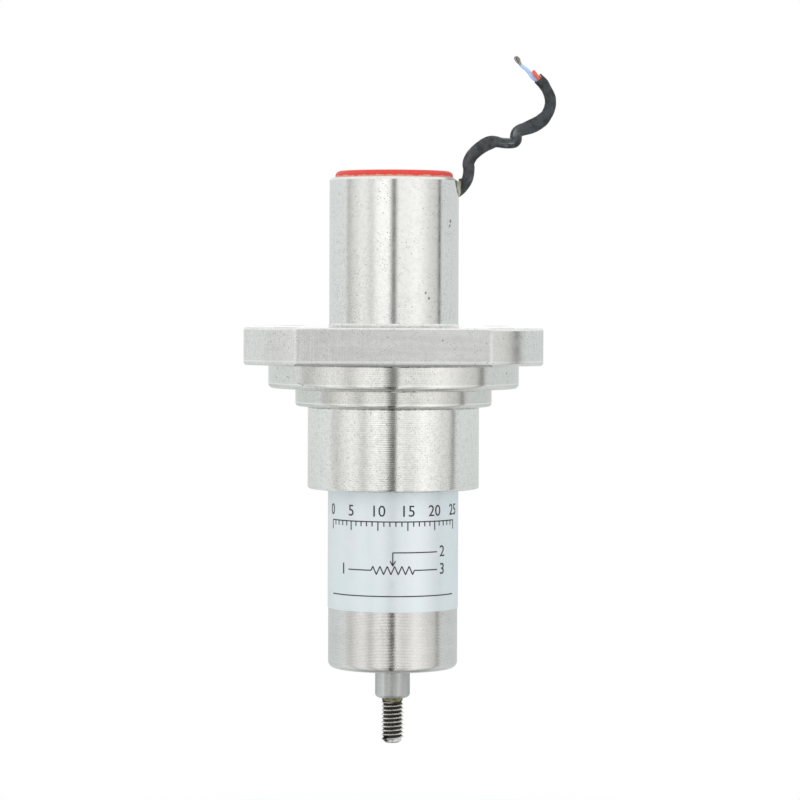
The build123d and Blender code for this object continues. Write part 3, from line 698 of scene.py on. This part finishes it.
def polar(radius_mm, turn, z_mm):
    """A place in metres, by its radius, angle and height about the Z axis."""
    return Vector((radius_mm * math.cos(turn), radius_mm * math.sin(turn), z_mm)) * MM


def turned_points(profile_mm, around):
    """Rings of points about the Z axis, one for each height and radius of the profile."""
    return [polar(radius, math.tau * step / around, z) for z, radius in profile_mm for step in range(around)]


def blend_stations(stations, at):
    """The values of the stations (place, value, ...), eased between the two beside a place."""
    for low, high in zip(stations, stations[1:]):
        if at <= high[0]:
            share = eased((at - low[0]) / (high[0] - low[0]))
            return tuple(a + (b - a) * share for a, b in zip(low[1:], high[1:]))
    return stations[-1][1:]


def eased(share):
    return share * share * (3 - 2 * share)


def bump_at(value, centre, reach):
    """1 at the centre, easing to 0 at the reach."""
    return eased(max(0.0, 1 - abs(value - centre) / reach))


# Cable

SLEEVE_WALL_MM = 0.24
SLEEVE_MOUTH_MM = 2.4
SLEEVE_AROUND = 48
SLEEVE_ROUTE_MM = [
    (9.35, 0.0, 28.7), (10.9, 0.0, 29.3), (12.4, -0.1, 31.0), (12.8, -0.4, 32.9), (12.55, -0.8, 34.7),
    (14.3, -1.1, 36.75), (16.7, -1.4, 38.15), (18.95, -1.3, 37.65), (20.85, -0.9, 37.8), (20.75, -0.5, 39.75),
    (23.1, 0.1, 40.45), (25.5, 0.6, 41.75), (26.8, 0.8, 44.0), (26.55, 0.4, 46.5), (24.75, -0.2, 48.8),
]
SLEEVE_SECTIONS_MM = [
    # place along the sleeve, then its full width in the picture and its full depth behind that
    (0.0, 1.9, 1.9), (2.0, 2.0, 1.8), (3.4, 1.9, 1.9), (5.0, 1.95, 1.9), (7.0, 2.05, 1.9),
    (9.5, 2.15, 1.9), (12.2, 2.3, 1.8), (14.4, 1.75, 2.0), (16.0, 1.8, 2.0), (17.6, 2.05, 1.9),
    (19.5, 2.15, 1.8), (21.5, 2.45, 1.8), (23.5, 2.3, 1.85), (25.0, 1.95, 1.95), (27.5, 1.85, 1.9),
    (29.5, 1.78, 1.84), (30.6, 2.0, 1.8), (31.4, 2.2, 1.8),
]
# A fold of cloth that stands up in front, near the sealant
EAR_PLACE_MM = 3.75
EAR_REACH_MM = 0.6
EAR_HEIGHT_MM = 0.42
# The mouth's lower lip is pushed out and up
LIP_REACH_MM = 1.1
LIP_OUT_MM = 0.55
LIP_UP_MM = 0.38


def sleeve_swell(length_mm, turn):
    """How far the cloth stands in or out of its plain section: long folds, dimples, and the ear."""
    around = Vector((math.cos(turn), math.sin(turn), length_mm * 0.16))
    dimple = Vector((around.x * 2.2, around.y * 2.2, length_mm * 0.7 + 7))
    weave = Vector((around.x * 5, around.y * 5, length_mm * 1.8))
    folds = 0.10 * noise.noise(around * 1.4)
    kink_highlights = -0.10 * max(0.0, noise.noise(dimple) - 0.12)
    fine = 0.022 * noise.noise(weave)
    facing = max(0.0, math.cos(turn - math.pi / 2))
    ear = EAR_HEIGHT_MM * bump_at(length_mm, EAR_PLACE_MM, EAR_REACH_MM) * facing ** 2
    return folds + kink_highlights + fine + ear


def add_sleeve(materials):
    """The woven sleeve: pressed flat at the notch, kinked half way, and open at its end."""
    path = smooth_path("sleeve_route", SLEEVE_ROUTE_MM)
    along = lengths_along(path)
    frames = frames_along(path, (0, 1, 0))
    outer = list(range(len(path)))
    inner = [index for index in outer if along[index] > along[-1] - SLEEVE_MOUTH_MM * MM]
    rings = [(index, 0.0) for index in outer] + [(index, SLEEVE_WALL_MM) for index in reversed(inner)]
    points = []
    uvs = []
    for index, wall in rings:
        place, tangent, side, up = frames[index]
        length = along[index] / MM
        width, depth = blend_stations(SLEEVE_SECTIONS_MM, length)
        for step in range(SLEEVE_AROUND):
            turn = math.tau * step / SLEEVE_AROUND
            swell = sleeve_swell(length, turn) - wall
            out = side * (math.cos(turn) * (depth / 2 + swell)) + up * (math.sin(turn) * (width / 2 + swell))
            curl = max(0.0, -math.sin(turn)) ** 2 * bump_at(length, along[-1] / MM, LIP_REACH_MM)
            out += tangent * (LIP_OUT_MM * curl) + up * (LIP_UP_MM * curl)
            points.append(place + out * MM)
            uvs.append((length, step / SLEEVE_AROUND))
    faces = rings_to_faces(len(rings), SLEEVE_AROUND)
    piece = add_piece("braided_sleeve", points, faces, materials, "black_sleeve", "housing")
    layer = piece.data.uv_layers.new(name="tube")
    for loop in piece.data.loops:
        layer.data[loop.index].uv = uvs[loop.vertex_index]
    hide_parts("cable_sleeve")


# Wire ends

WIRE_AROUND = 24
WIRES_MM = {
    # node that it replaces: slot, diameter at the start and at the end, then the route
    "wire_blue": ("blue_insulation", 0.90, 0.62, [
        (25.75, 0.1, 47.7), (24.9, 0.0, 48.3), (23.6, 0.0, 49.0), (22.8, 0.1, 50.3), (21.65, 0.2, 51.1),
    ]),
    "wire_red": ("red_insulation", 0.74, 0.62, [
        (25.7, -0.3, 47.6), (24.9, -0.45, 48.6), (24.15, -0.6, 49.4), (23.68, -0.6, 50.1),
    ]),
    "wire_white": ("white_insulation", 0.62, 0.60, [
        (25.9, 0.1, 47.4), (25.35, -0.1, 48.6), (25.15, -0.3, 49.5),
    ]),
}


def tube_points(path, first_width, last_width, around=WIRE_AROUND, rough=0.015, round_end=0.12):
    """Rings along a path, whose last one is drawn in for a rounded edge."""
    points = []
    frames = frames_along(path, (0, 1, 0))
    turns = [math.tau * step / around for step in range(around)]
    for index, (place, _, side, up) in enumerate(frames):
        share = index / (len(frames) - 1)
        radius = (first_width + (last_width - first_width) * share) / 2
        for turn in turns:
            wave = 1 + rough * noise.noise(Vector((math.cos(turn), math.sin(turn), share * 9)) * 2)
            points.append(place + (side * math.cos(turn) + up * math.sin(turn)) * (radius * wave * MM))
    place, tangent, side, up = frames[-1]
    radius = last_width / 2 - round_end
    for turn in turns:
        out = side * math.cos(turn) + up * math.sin(turn)
        points.append(place + tangent * (round_end * 0.7 * MM) + out * (radius * MM))
    return points, len(frames) + 1


def add_wires(materials):
    """The three insulated wire ends that stand out of the sleeve's mouth."""
    pieces = []
    for name, (slot, first_width, last_width, route) in WIRES_MM.items():
        points, rings = tube_points(smooth_path(name + "_route", route, 12), first_width, last_width)
        faces = rings_to_faces(rings, WIRE_AROUND)
        piece = add_piece(name + "_end", points, faces, materials, slot, "housing")
        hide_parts(name)
        pieces.append(piece)
    return pieces


STRAND_COUNT = 7
STRAND_AROUND = 8
STRAND_DIAMETER_MM = 0.21
STRAND_TIP_MM = Vector((20.6, 0.3, 52.6))
STRAND_SPREADS_MM = [
    # share of the way to the tip, then how far the strands stand from the middle there
    (-0.12, 0.16), (0.05, 0.17), (0.3, 0.24), (0.62, 0.40), (0.86, 0.33), (1.0, 0.2),
]


def add_strands(materials):
    """Bare twisted strands at the blue wire's tip, spread out and drawn together at the end."""
    start = Vector(WIRES_MM["wire_blue"][-1][-1])
    run = STRAND_TIP_MM - start
    side = Vector((0, 1, 0))
    up = run.normalized().cross(side).normalized()
    points = []
    faces = []
    rng = random.Random(5)
    for strand in range(STRAND_COUNT):
        turn = math.tau * strand / STRAND_COUNT
        route = []
        for share, spread in STRAND_SPREADS_MM:
            angle = turn + share * 1.3 + rng.uniform(-0.2, 0.2)
            out = side * (math.cos(angle) * 0.55) + up * math.sin(angle)
            middle = start + run * (share * rng.uniform(0.95, 1.0))
            route.append(middle + out * (spread * rng.uniform(0.9, 1.15)))
        path = smooth_path("strand_route", route, 6)
        ring_points, rings = tube_points(path, STRAND_DIAMETER_MM, STRAND_DIAMETER_MM, STRAND_AROUND,
                                         rough=0.0, round_end=0.03)
        faces += rings_to_faces(rings, STRAND_AROUND, first=len(points))
        points += ring_points
    piece = add_piece("bare_strand_bundle", points, faces, materials, "tinned_copper", "housing")
    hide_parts("bare_strands")
    return piece


# Sealant in the notch

NOTCH_RADIUS_MM = RIM_Z_MM - low_mm("cable_seal").z
SEAL_INNER_MM = low_mm("cable_seal").x
SEAL_TOP_MM = RIM_Z_MM - 0.45
SEAL_MIDDLE_MM = -0.42 * NOTCH_RADIUS_MM
SEAL_ROUND_STEPS = 40
SEAL_TOP_STEPS = 24
SEAL_LAYERS = [
    # height over the barrel's surface in millimetres, and the outline's size there
    (-0.02, 1.0), (0.06, 1.0), (0.14, 0.96), (0.22, 0.86), (0.28, 0.70), (0.32, 0.48), (0.34, 0.24),
]


def add_seal(materials):
    """A lumpy fill in the barrel's notch that stands a little proud around the cable."""
    turns = [math.pi * (1 + step / (SEAL_ROUND_STEPS - 1)) for step in range(SEAL_ROUND_STEPS)]
    outline = [(math.cos(turn), math.sin(turn)) for turn in turns]
    outline += [(1 - 2 * step / SEAL_TOP_STEPS, 0.0) for step in range(1, SEAL_TOP_STEPS)]
    outline = [(NOTCH_RADIUS_MM * across, NOTCH_RADIUS_MM * below) for across, below in outline]
    points = [Vector((SEAL_INNER_MM, y, RIM_Z_MM + z)) * MM for y, z in outline]
    for height, size in SEAL_LAYERS:
        for across, below in outline:
            y = across * size
            z = min(RIM_Z_MM + SEAL_MIDDLE_MM + (below - SEAL_MIDDLE_MM) * size, SEAL_TOP_MM)
            broad = noise.noise(Vector((y * 0.9, z * 0.9, 3.0)))
            fine = noise.noise(Vector((y * 2.4, z * 2.4, 9.0)))
            lump = broad * 0.55 + fine * 0.2
            proud = height * (1 + max(-0.6, lump)) + (0.1 * lump if size < 1 else 0)
            x = math.sqrt(BARREL_RADIUS_MM ** 2 - y * y) + min(0.5, proud)
            points.append(Vector((x, y, z)) * MM)
    faces = rings_to_faces(1 + len(SEAL_LAYERS), len(outline))
    piece = add_piece("sealant_bead", points, faces, materials, "beige_sealant", "housing")
    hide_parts("cable_seal")


# Rod and stud

ROD_AROUND = 96
ROD_NECK_RADIUS_MM = 1.5
# How far the rod's rounded end reaches inwards and upwards
ROD_ROUNDING_MM = (1.05, 0.80)
ROD_ROUNDING_STEPS = 12
BORE_CLEARANCE_MM = 0.02
BORE_PAST_STUD_MM = 0.3
BORE_END_RADIUS_MM = 0.2
STUD_AROUND = 72
STUD_TIP_CHAMFER_MM = 0.72
STUD_TOP_CHAMFER_MM = 0.45
STUD_NECK_RADIUS_MM = 1.86
STUD_CORE_RADIUS_MM = 1.50
STUD_UNDERCUT_MM = 0.6
STUD_UNDERCUT_DEPTH_MM = 0.16
STUD_SHANK_RADIUS_MM = 1.73
STUD_FLAT_RADIUS_MM = 0.6
THREAD_PITCH_MM = 0.7
THREAD_DEPTH_MM = 0.43
THREAD_PROFILE = [
    # share of the pitch, then how far towards the crest
    (0.0, 1.0), (0.05, 0.97), (0.12, 0.80), (0.38, 0.16), (0.45, 0.03), (0.5, 0.0), (0.55, 0.03),
    (0.62, 0.16), (0.88, 0.80), (0.95, 0.97), (1.0, 1.0),
]
# Turns of thread that start below the tip and are cut off there
THREAD_LEAD_TURNS = 1.6
THREAD_RUN_OUT_SLOPE = 4.0
HAIR_MM = 0.02
NO_HEIGHT_MM = 1e-4


def add_rod(materials):
    """The ground rod: its end rounded and bored for the stud, its top necked for the carriage."""
    radius = ROD_RADIUS_MM
    carriage_z = low_mm("carriage").z
    bore = STUD_SHANK_RADIUS_MM + BORE_CLEARANCE_MM
    bore_top = STUD_TOP_MM + BORE_PAST_STUD_MM
    across, along = ROD_ROUNDING_MM
    profile = [(bore_top, BORE_END_RADIUS_MM), (bore_top, bore), (ROD_BOTTOM_MM, bore)]
    for step in range(ROD_ROUNDING_STEPS + 1):
        turn = math.pi / 2 * step / ROD_ROUNDING_STEPS
        z = ROD_BOTTOM_MM + along * (1 - math.cos(turn))
        profile.append((z, radius - across * (1 - math.sin(turn))))
    profile += [
        (ROD_BOTTOM_MM + along + 0.05, radius), (carriage_z - HAIR_MM, radius),
        (carriage_z, radius - HAIR_MM), (carriage_z, ROD_NECK_RADIUS_MM),
        (high_mm("rod").z, ROD_NECK_RADIUS_MM),
    ]
    points = turned_points(profile, ROD_AROUND)
    faces = rings_to_faces(len(profile), ROD_AROUND)
    piece = add_piece("ground_rod", points, faces, materials, "ground_steel", "rod")
    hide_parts("rod")


def thread_surface(thread_top, tip_radius):
    """Points and quads of the right-hand thread, cut off at both ends, with a chamfered tip."""
    columns = int(((thread_top - STUD_BOTTOM_MM) / THREAD_PITCH_MM + 2) * STUD_AROUND)
    rows = len(THREAD_PROFILE)
    points = []
    for column in range(columns + 1):
        turns = column / STUD_AROUND
        for share, depth in THREAD_PROFILE:
            z = STUD_BOTTOM_MM + THREAD_PITCH_MM * (turns + share - THREAD_LEAD_TURNS)
            z = min(max(z, STUD_BOTTOM_MM), thread_top)
            cone = tip_radius + (z - STUD_BOTTOM_MM)
            run_out = STUD_CORE_RADIUS_MM + (thread_top - z) * THREAD_RUN_OUT_SLOPE
            radius = min(STUD_RADIUS_MM - THREAD_DEPTH_MM * (1 - depth), cone, run_out)
            points.append(polar(radius, math.tau * turns, z))
    faces = []
    for column in range(columns):
        for row in range(rows - 1):
            a = column * rows + row
            quad = (a, a + rows, a + rows + 1, a + 1)
            heights = [points[corner].z / MM for corner in quad]
            if max(heights) > STUD_BOTTOM_MM + NO_HEIGHT_MM and min(heights) < thread_top - NO_HEIGHT_MM:
                faces.append(quad)
    return points, faces


def add_stud(materials):
    """The stud: its thread, the core under it, the undercut, and the hidden shank in the rod."""
    thread_top = ROD_BOTTOM_MM - STUD_UNDERCUT_MM
    tip_radius = STUD_RADIUS_MM - STUD_TIP_CHAMFER_MM
    core_radius = STUD_CORE_RADIUS_MM - HAIR_MM
    points, faces = thread_surface(thread_top, tip_radius)
    profile = [
        (STUD_BOTTOM_MM, STUD_FLAT_RADIUS_MM), (STUD_BOTTOM_MM, tip_radius - HAIR_MM),
        (STUD_BOTTOM_MM + core_radius - tip_radius + HAIR_MM, core_radius),
        (thread_top - 0.05, core_radius),
        (thread_top + HAIR_MM, STUD_NECK_RADIUS_MM - STUD_UNDERCUT_DEPTH_MM),
        (ROD_BOTTOM_MM, STUD_NECK_RADIUS_MM),
        (ROD_BOTTOM_MM + HAIR_MM, STUD_SHANK_RADIUS_MM),
        (STUD_TOP_MM - STUD_TOP_CHAMFER_MM, STUD_SHANK_RADIUS_MM),
        (STUD_TOP_MM, STUD_SHANK_RADIUS_MM - STUD_TOP_CHAMFER_MM),
    ]
    faces += rings_to_faces(len(profile), STUD_AROUND, first=len(points))
    points += turned_points(profile, STUD_AROUND)
    piece = add_piece("threaded_stud", points, faces, materials, "stud_steel", "rod")
    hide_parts("rod_stud")


SMEAR_PROFILE_MM = [
    # height below the rod's end, then how far it stands out from the neck
    (0.0, 0.0), (0.0, 0.08), (-0.20, 0.10), (-0.40, 0.08), (-0.56, 0.04), (-0.60, 0.0),
]


def add_thread_sealant(materials):
    """A smear of sealant that was squeezed out between the stud and the rod, thicker in front."""
    points = []
    for below, lift in SMEAR_PROFILE_MM:
        for step in range(ROD_AROUND):
            turn = math.tau * step / ROD_AROUND
            ragged = noise.noise(Vector((math.cos(turn) * 2.4, math.sin(turn) * 2.4, below * 2)))
            front = -math.sin(turn) + 0.12 * math.cos(turn)
            thick = min(1.0, max(0.0, (front + 0.25 * ragged - 0.42) * 5))
            drop = below * (0.25 + 0.75 * thick)
            neck = STUD_NECK_RADIUS_MM + STUD_UNDERCUT_DEPTH_MM * drop / STUD_UNDERCUT_MM
            points.append(polar(neck - 0.03 + lift * thick * (1 + 0.5 * ragged), turn, ROD_BOTTOM_MM + drop))
    rings = len(SMEAR_PROFILE_MM)
    faces = rings_to_faces(rings, ROD_AROUND, closed=False)
    last = (rings - 1) * ROD_AROUND
    for step in range(ROD_AROUND):
        following = (step + 1) % ROD_AROUND
        faces.append((last + step, last + following, following, step))
    piece = add_piece("thread_sealant_ring", points, faces, materials, "olive_sealant", "rod")
    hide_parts("thread_sealant")


# Label print: a plain scale and a three-terminal symbol, wrapped round the tube

INK_LIFT_MM = 0.012
INK_THICKNESS_MM = 0.02
FIGURE_MM = 2.7
LINE_MM = 0.19
LINE_SECTION_MM = 0.6
# Places on the unrolled label: across from the middle of its front, and up from its top
SCALE_UP_MM = -5.0
SCALE_STEP_MM = 1.02
SCALE_LAST = 25
LONG_TICK_EVERY = 5
TRACK_UP_MM = -13.2
WIPER_UP_MM = -10.2
TEETH = 12
TOOTH_MM = 0.62
TOOTH_HEIGHT_MM = 0.7
LEAD_END_MM = 8.2
LEAD_FIGURE_MM = 9.4
BORDER_MM = (12.6, -17.6)


def strip(start, end, sections=None):
    """A line between two places of the unrolled label: its points and quads."""
    start, end = Vector(start), Vector(end)
    run = end - start
    across = Vector((-run.y, run.x)).normalized() * (LINE_MM / 2)
    count = sections or max(1, int(run.length / LINE_SECTION_MM))
    points = []
    for index in range(count + 1):
        place = start + run * (index / count)
        points += [place - across, place + across]
    return points, [(2 * i, 2 * i + 2, 2 * i + 3, 2 * i + 1) for i in range(count)]


def figure(text, centre):
    """A number in the built-in font, as points and faces of the unrolled label."""
    curve = bpy.data.curves.new("figure", "FONT")
    curve.body = text
    curve.size = FIGURE_MM
    curve.align_x = "CENTER"
    curve.align_y = "CENTER"
    curve.resolution_u = 3
    mesh = mesh_of_curve(curve)
    points = [vertex.co.to_2d() + Vector(centre) for vertex in mesh.vertices]
    faces = [tuple(polygon.vertices) for polygon in mesh.polygons]
    bpy.data.meshes.remove(mesh)
    return points, faces


def scale_drawing():
    """A line with a tick for each millimetre of the stroke, and figures over the long ticks."""
    half = SCALE_STEP_MM * SCALE_LAST / 2
    shapes = [strip((-half, SCALE_UP_MM), (half, SCALE_UP_MM))]
    for tick in range(SCALE_LAST + 1):
        across = tick * SCALE_STEP_MM - half
        is_long = tick % LONG_TICK_EVERY == 0
        shapes.append(strip((across, SCALE_UP_MM), (across, SCALE_UP_MM - (1.5 if is_long else 0.8))))
        if is_long:
            shapes.append(figure(str(tick), (across, SCALE_UP_MM + 1.7)))
    return shapes


def symbol_drawing():
    """The symbol of a potentiometer: a zigzag track with two ends, and the wiper's arrow onto it."""
    track, wiper = TRACK_UP_MM, WIPER_UP_MM
    half = TEETH * TOOTH_MM / 2
    zigzag = [(-half, track)]
    for tooth in range(TEETH):
        zigzag.append(((tooth + 0.5) * TOOTH_MM - half, track + TOOTH_HEIGHT_MM * (-1) ** tooth))
    zigzag.append((half, track))
    shapes = [strip(start, end, 1) for start, end in zip(zigzag, zigzag[1:])]
    shapes += [strip((0, wiper), (0, track + 0.9)), strip((0, wiper), (LEAD_END_MM, wiper))]
    for side, number in ((-1, "1"), (1, "3")):
        shapes.append(strip((side * LEAD_END_MM, track), (side * half, track)))
        shapes.append(strip((0, track + 0.75), (side * 0.45, track + 1.6), 1))
        shapes.append(figure(number, (side * LEAD_FIGURE_MM, track)))
    shapes.append(figure("2", (LEAD_FIGURE_MM, wiper)))
    return shapes


def add_label_print(materials):
    """The label's print as a thin film of ink on the label."""
    border_end, border_up = BORDER_MM
    border = strip((-border_end, border_up), (border_end, border_up))
    radius = (LABEL_RADIUS_MM + INK_LIFT_MM) * MM
    solid = bmesh.new()
    for points, faces in scale_drawing() + symbol_drawing() + [border]:
        corners = []
        for place in points:
            angle = place.x / LABEL_RADIUS_MM
            height = (LABEL_TOP_MM + place.y) * MM
            corners.append(solid.verts.new((radius * math.sin(angle), -radius * math.cos(angle), height)))
        for face in faces:
            solid.faces.new([corners[index] for index in face])
    bmesh.ops.recalc_face_normals(solid, faces=solid.faces)
    for face in solid.faces:
        centre = face.calc_center_median()
        if face.normal.dot(Vector((centre.x, centre.y, 0))) < 0:
            face.normal_flip()
    bmesh.ops.solidify(solid, geom=list(solid.faces), thickness=-INK_THICKNESS_MM * MM)
    mesh = bpy.data.meshes.new("label_print")
    solid.to_mesh(mesh)
    solid.free()
    mesh.materials.append(materials["track_ink"])
    piece = new_object("label_print", mesh)
    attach(piece, "housing")


# Floor

FLOOR_CLEARANCE_MM = 30
FLOOR_STEPS = 96
FLOOR_RADIUS_MM = 180
FLOOR_FADE_MM = (90, 160)
FLOOR_TONES = ((0.93, 0.93, 0.93), (0.95, 0.95, 0.95))


def floor_surface():
    """Pale and matt near the object, then fading out. Unseen from below and in the metal."""
    place = open_material("studio_floor")
    paint = mix(noise_at(place, 0.06), *FLOOR_TONES)
    matt = node("BsdfDiffuse", {"Color": paint}).outputs[0]
    clear = node("BsdfTransparent").outputs[0]
    fade = between(vector_maths("LENGTH", place, output="Value"), *FLOOR_FADE_MM)
    below = node("NewGeometry").outputs["Backfacing"]
    mirrored = node("LightPath").outputs["Is Glossy Ray"]
    unseen = greatest(fade, below, mirrored)
    node("OutputMaterial", {0: node("MixShader", {0: unseen, 1: matt, 2: clear}).outputs[0]})
    return opened[-1]


def add_floor():
    """A round pale floor under the rod's tip, with room for the rod at its full stroke."""
    points = [Vector()] + turned_points([(0, FLOOR_RADIUS_MM)], FLOOR_STEPS)
    faces = [(0, step + 1, (step + 1) % FLOOR_STEPS + 1) for step in range(FLOOR_STEPS)]
    mesh = bpy.data.meshes.new("floor")
    mesh.from_pydata(points, [], faces)
    mesh.materials.append(floor_surface())
    floor = new_object("floor", mesh)
    floor.location = (0, 0, cad_low.z - FLOOR_CLEARANCE_MM * MM)


# Light

STUDIO_STRENGTH = 1.18
# Azimuth in degrees from the camera's side towards +X, then the brightness there
WALLS_ABOVE = [
    (-180, 1.0), (-176, 1.0), (-171, 0.66), (-100, 0.70), (-95, 0.70), (-91, 0.53), (-86, 0.50), (-80, 0.60),
    (-72, 0.69), (-60, 0.80), (-50, 0.78), (-41, 0.66), (-37, 0.72), (-30, 0.90), (-20, 0.99), (-9, 0.97),
    (-5, 0.62), (-2, 0.24), (2, 0.24), (5, 0.62), (9, 0.84), (40, 0.92), (50, 0.86), (66, 0.67), (82, 0.54),
    (86, 0.34), (89, 0.08), (93, 0.56), (98, 0.62), (171, 0.60), (176, 1.0), (180, 1.0),
]
WALLS_BELOW = [
    (-180, 0.64), (-171, 0.56), (-120, 0.60), (-96, 0.67), (-90, 0.64), (-80, 0.49), (-74, 0.60),
    (-58, 0.74), (-50, 0.66), (-40, 0.44), (-34, 0.60), (-24, 0.70), (-17, 0.50), (-10, 0.52), (-8, 0.30),
    (-5, 0.07), (3, 0.07), (5, 0.84), (10, 0.70), (18, 0.52), (26, 0.56), (40, 0.83), (50, 0.79), (66, 0.64),
    (80, 0.54), (86, 0.30), (90, 0.55), (100, 0.60), (171, 0.56), (180, 0.64),
]
# Elevations in degrees between which the walls' lower part and the ceiling take over
BELOW_SPAN = (0.5, -5.5)
CEILING_SPAN = (4.0, 9.0)
CEILING = (0.80, 0.80, 0.79)
SIDE_TINT = (0.955, 1.0, 0.992)
FRONT_TINT = (1.0, 1.0, 0.98)
SIDE_FROM = 95
HEIGHTS = [
    # elevation in degrees, then the factor on that brightness
    (-90, 0.56), (-64, 0.56), (-50, 0.92), (-26, 1.12), (-9, 1.0), (12, 1.0), (40, 1.02), (62, 1.08),
    (90, 1.08),
]
# Keeps those factors under 1 on their ramp, and the studio's strength makes up for it
HEIGHT_SCALE = 0.85


def wall_stops(walls):
    """The walls' brightness as ramp stops, cooler at the sides and behind."""
    stops = []
    for angle, brightness in walls:
        tint = SIDE_TINT if abs(angle) >= SIDE_FROM else FRONT_TINT
        stops.append((angle / 360 + 0.5, [brightness * part for part in tint]))
    return stops


def mirrored_studio():
    """What the metal mirrors: pale walls with dark gaps, and a pale ceiling."""
    x, y, z = axes_of(node("TexCoord").outputs["Generated"])
    around = linear(maths("ARCTAN2", x, product(y, -1.0)), 1 / math.tau, 0.5)
    upper, lower = [ramp_of(around, wall_stops(walls)) for walls in (WALLS_ABOVE, WALLS_BELOW)]
    elevation = product(maths("ARCSINE", z), math.degrees(1))
    walls = mix(between(elevation, *BELOW_SPAN), upper, lower)
    studio = mix(between(elevation, *CEILING_SPAN), walls, CEILING)
    heights = [(angle / 180 + 0.5, [factor * HEIGHT_SCALE] * 3) for angle, factor in HEIGHTS]
    return tinted(studio, ramp_of(linear(elevation, 1 / 180, 0.5), heights))


def background(colour, strength=1.0):
    return node("Background", {"Color": colour, "Strength": strength}).outputs[0]


def light_world():
    """White behind the object, an even room for its light, and the mirrored studio for its shine."""
    world = bpy.data.worlds.new("studio")
    bpy.context.scene.world = world
    open_tree(world)
    mirrored = background(mirrored_studio(), STUDIO_STRENGTH / HEIGHT_SCALE)
    room = background((0.80, 0.81, 0.82, 1))
    rays = node("LightPath").outputs
    shine = greatest(rays["Is Glossy Ray"], rays["Is Transmission Ray"])
    lighting = node("MixShader", {0: shine, 1: room, 2: mirrored}).outputs[0]
    white = background((1, 1, 1, 1))
    surface = node("MixShader", {0: rays["Is Camera Ray"], 1: lighting, 2: white}).outputs[0]
    node("OutputWorld", {0: surface})
    world.cycles.sampling_method = "NONE"


LIGHT_SIDE = 0.5
LIGHTS = {
    # name: place, then power in watts
    "key_light": ((-0.45, -0.60, 0.45), 2.2),
    "fill_light": ((0.60, -0.50, 0.20), 1.0),
    "back_light": ((0.10, 0.70, 0.50), 1.0),
}


def light_studio():
    """Square soft lights that face the flange and that the metal doesn't mirror."""
    for name, (place, power) in LIGHTS.items():
        data = bpy.data.lights.new(name, "AREA")
        data.shape = "SQUARE"
        data.size = LIGHT_SIDE
        data.energy = power
        light = new_object(name, data)
        light.location = place
        light.rotation_euler = (-Vector(place)).to_track_quat("-Z", "Y").to_euler()
        light.visible_glossy = False


bpy.context.scene.view_settings.view_transform = "Standard"
add_camera()
materials = all_materials()
dress_frame(materials)
wires = add_wires(materials)
wires.append(add_strands(materials))
add_sleeve(materials)
add_seal(materials)
add_rod(materials)
add_stud(materials)
add_thread_sealant(materials)
add_label_print(materials)
light_world()
light_studio()
add_floor()
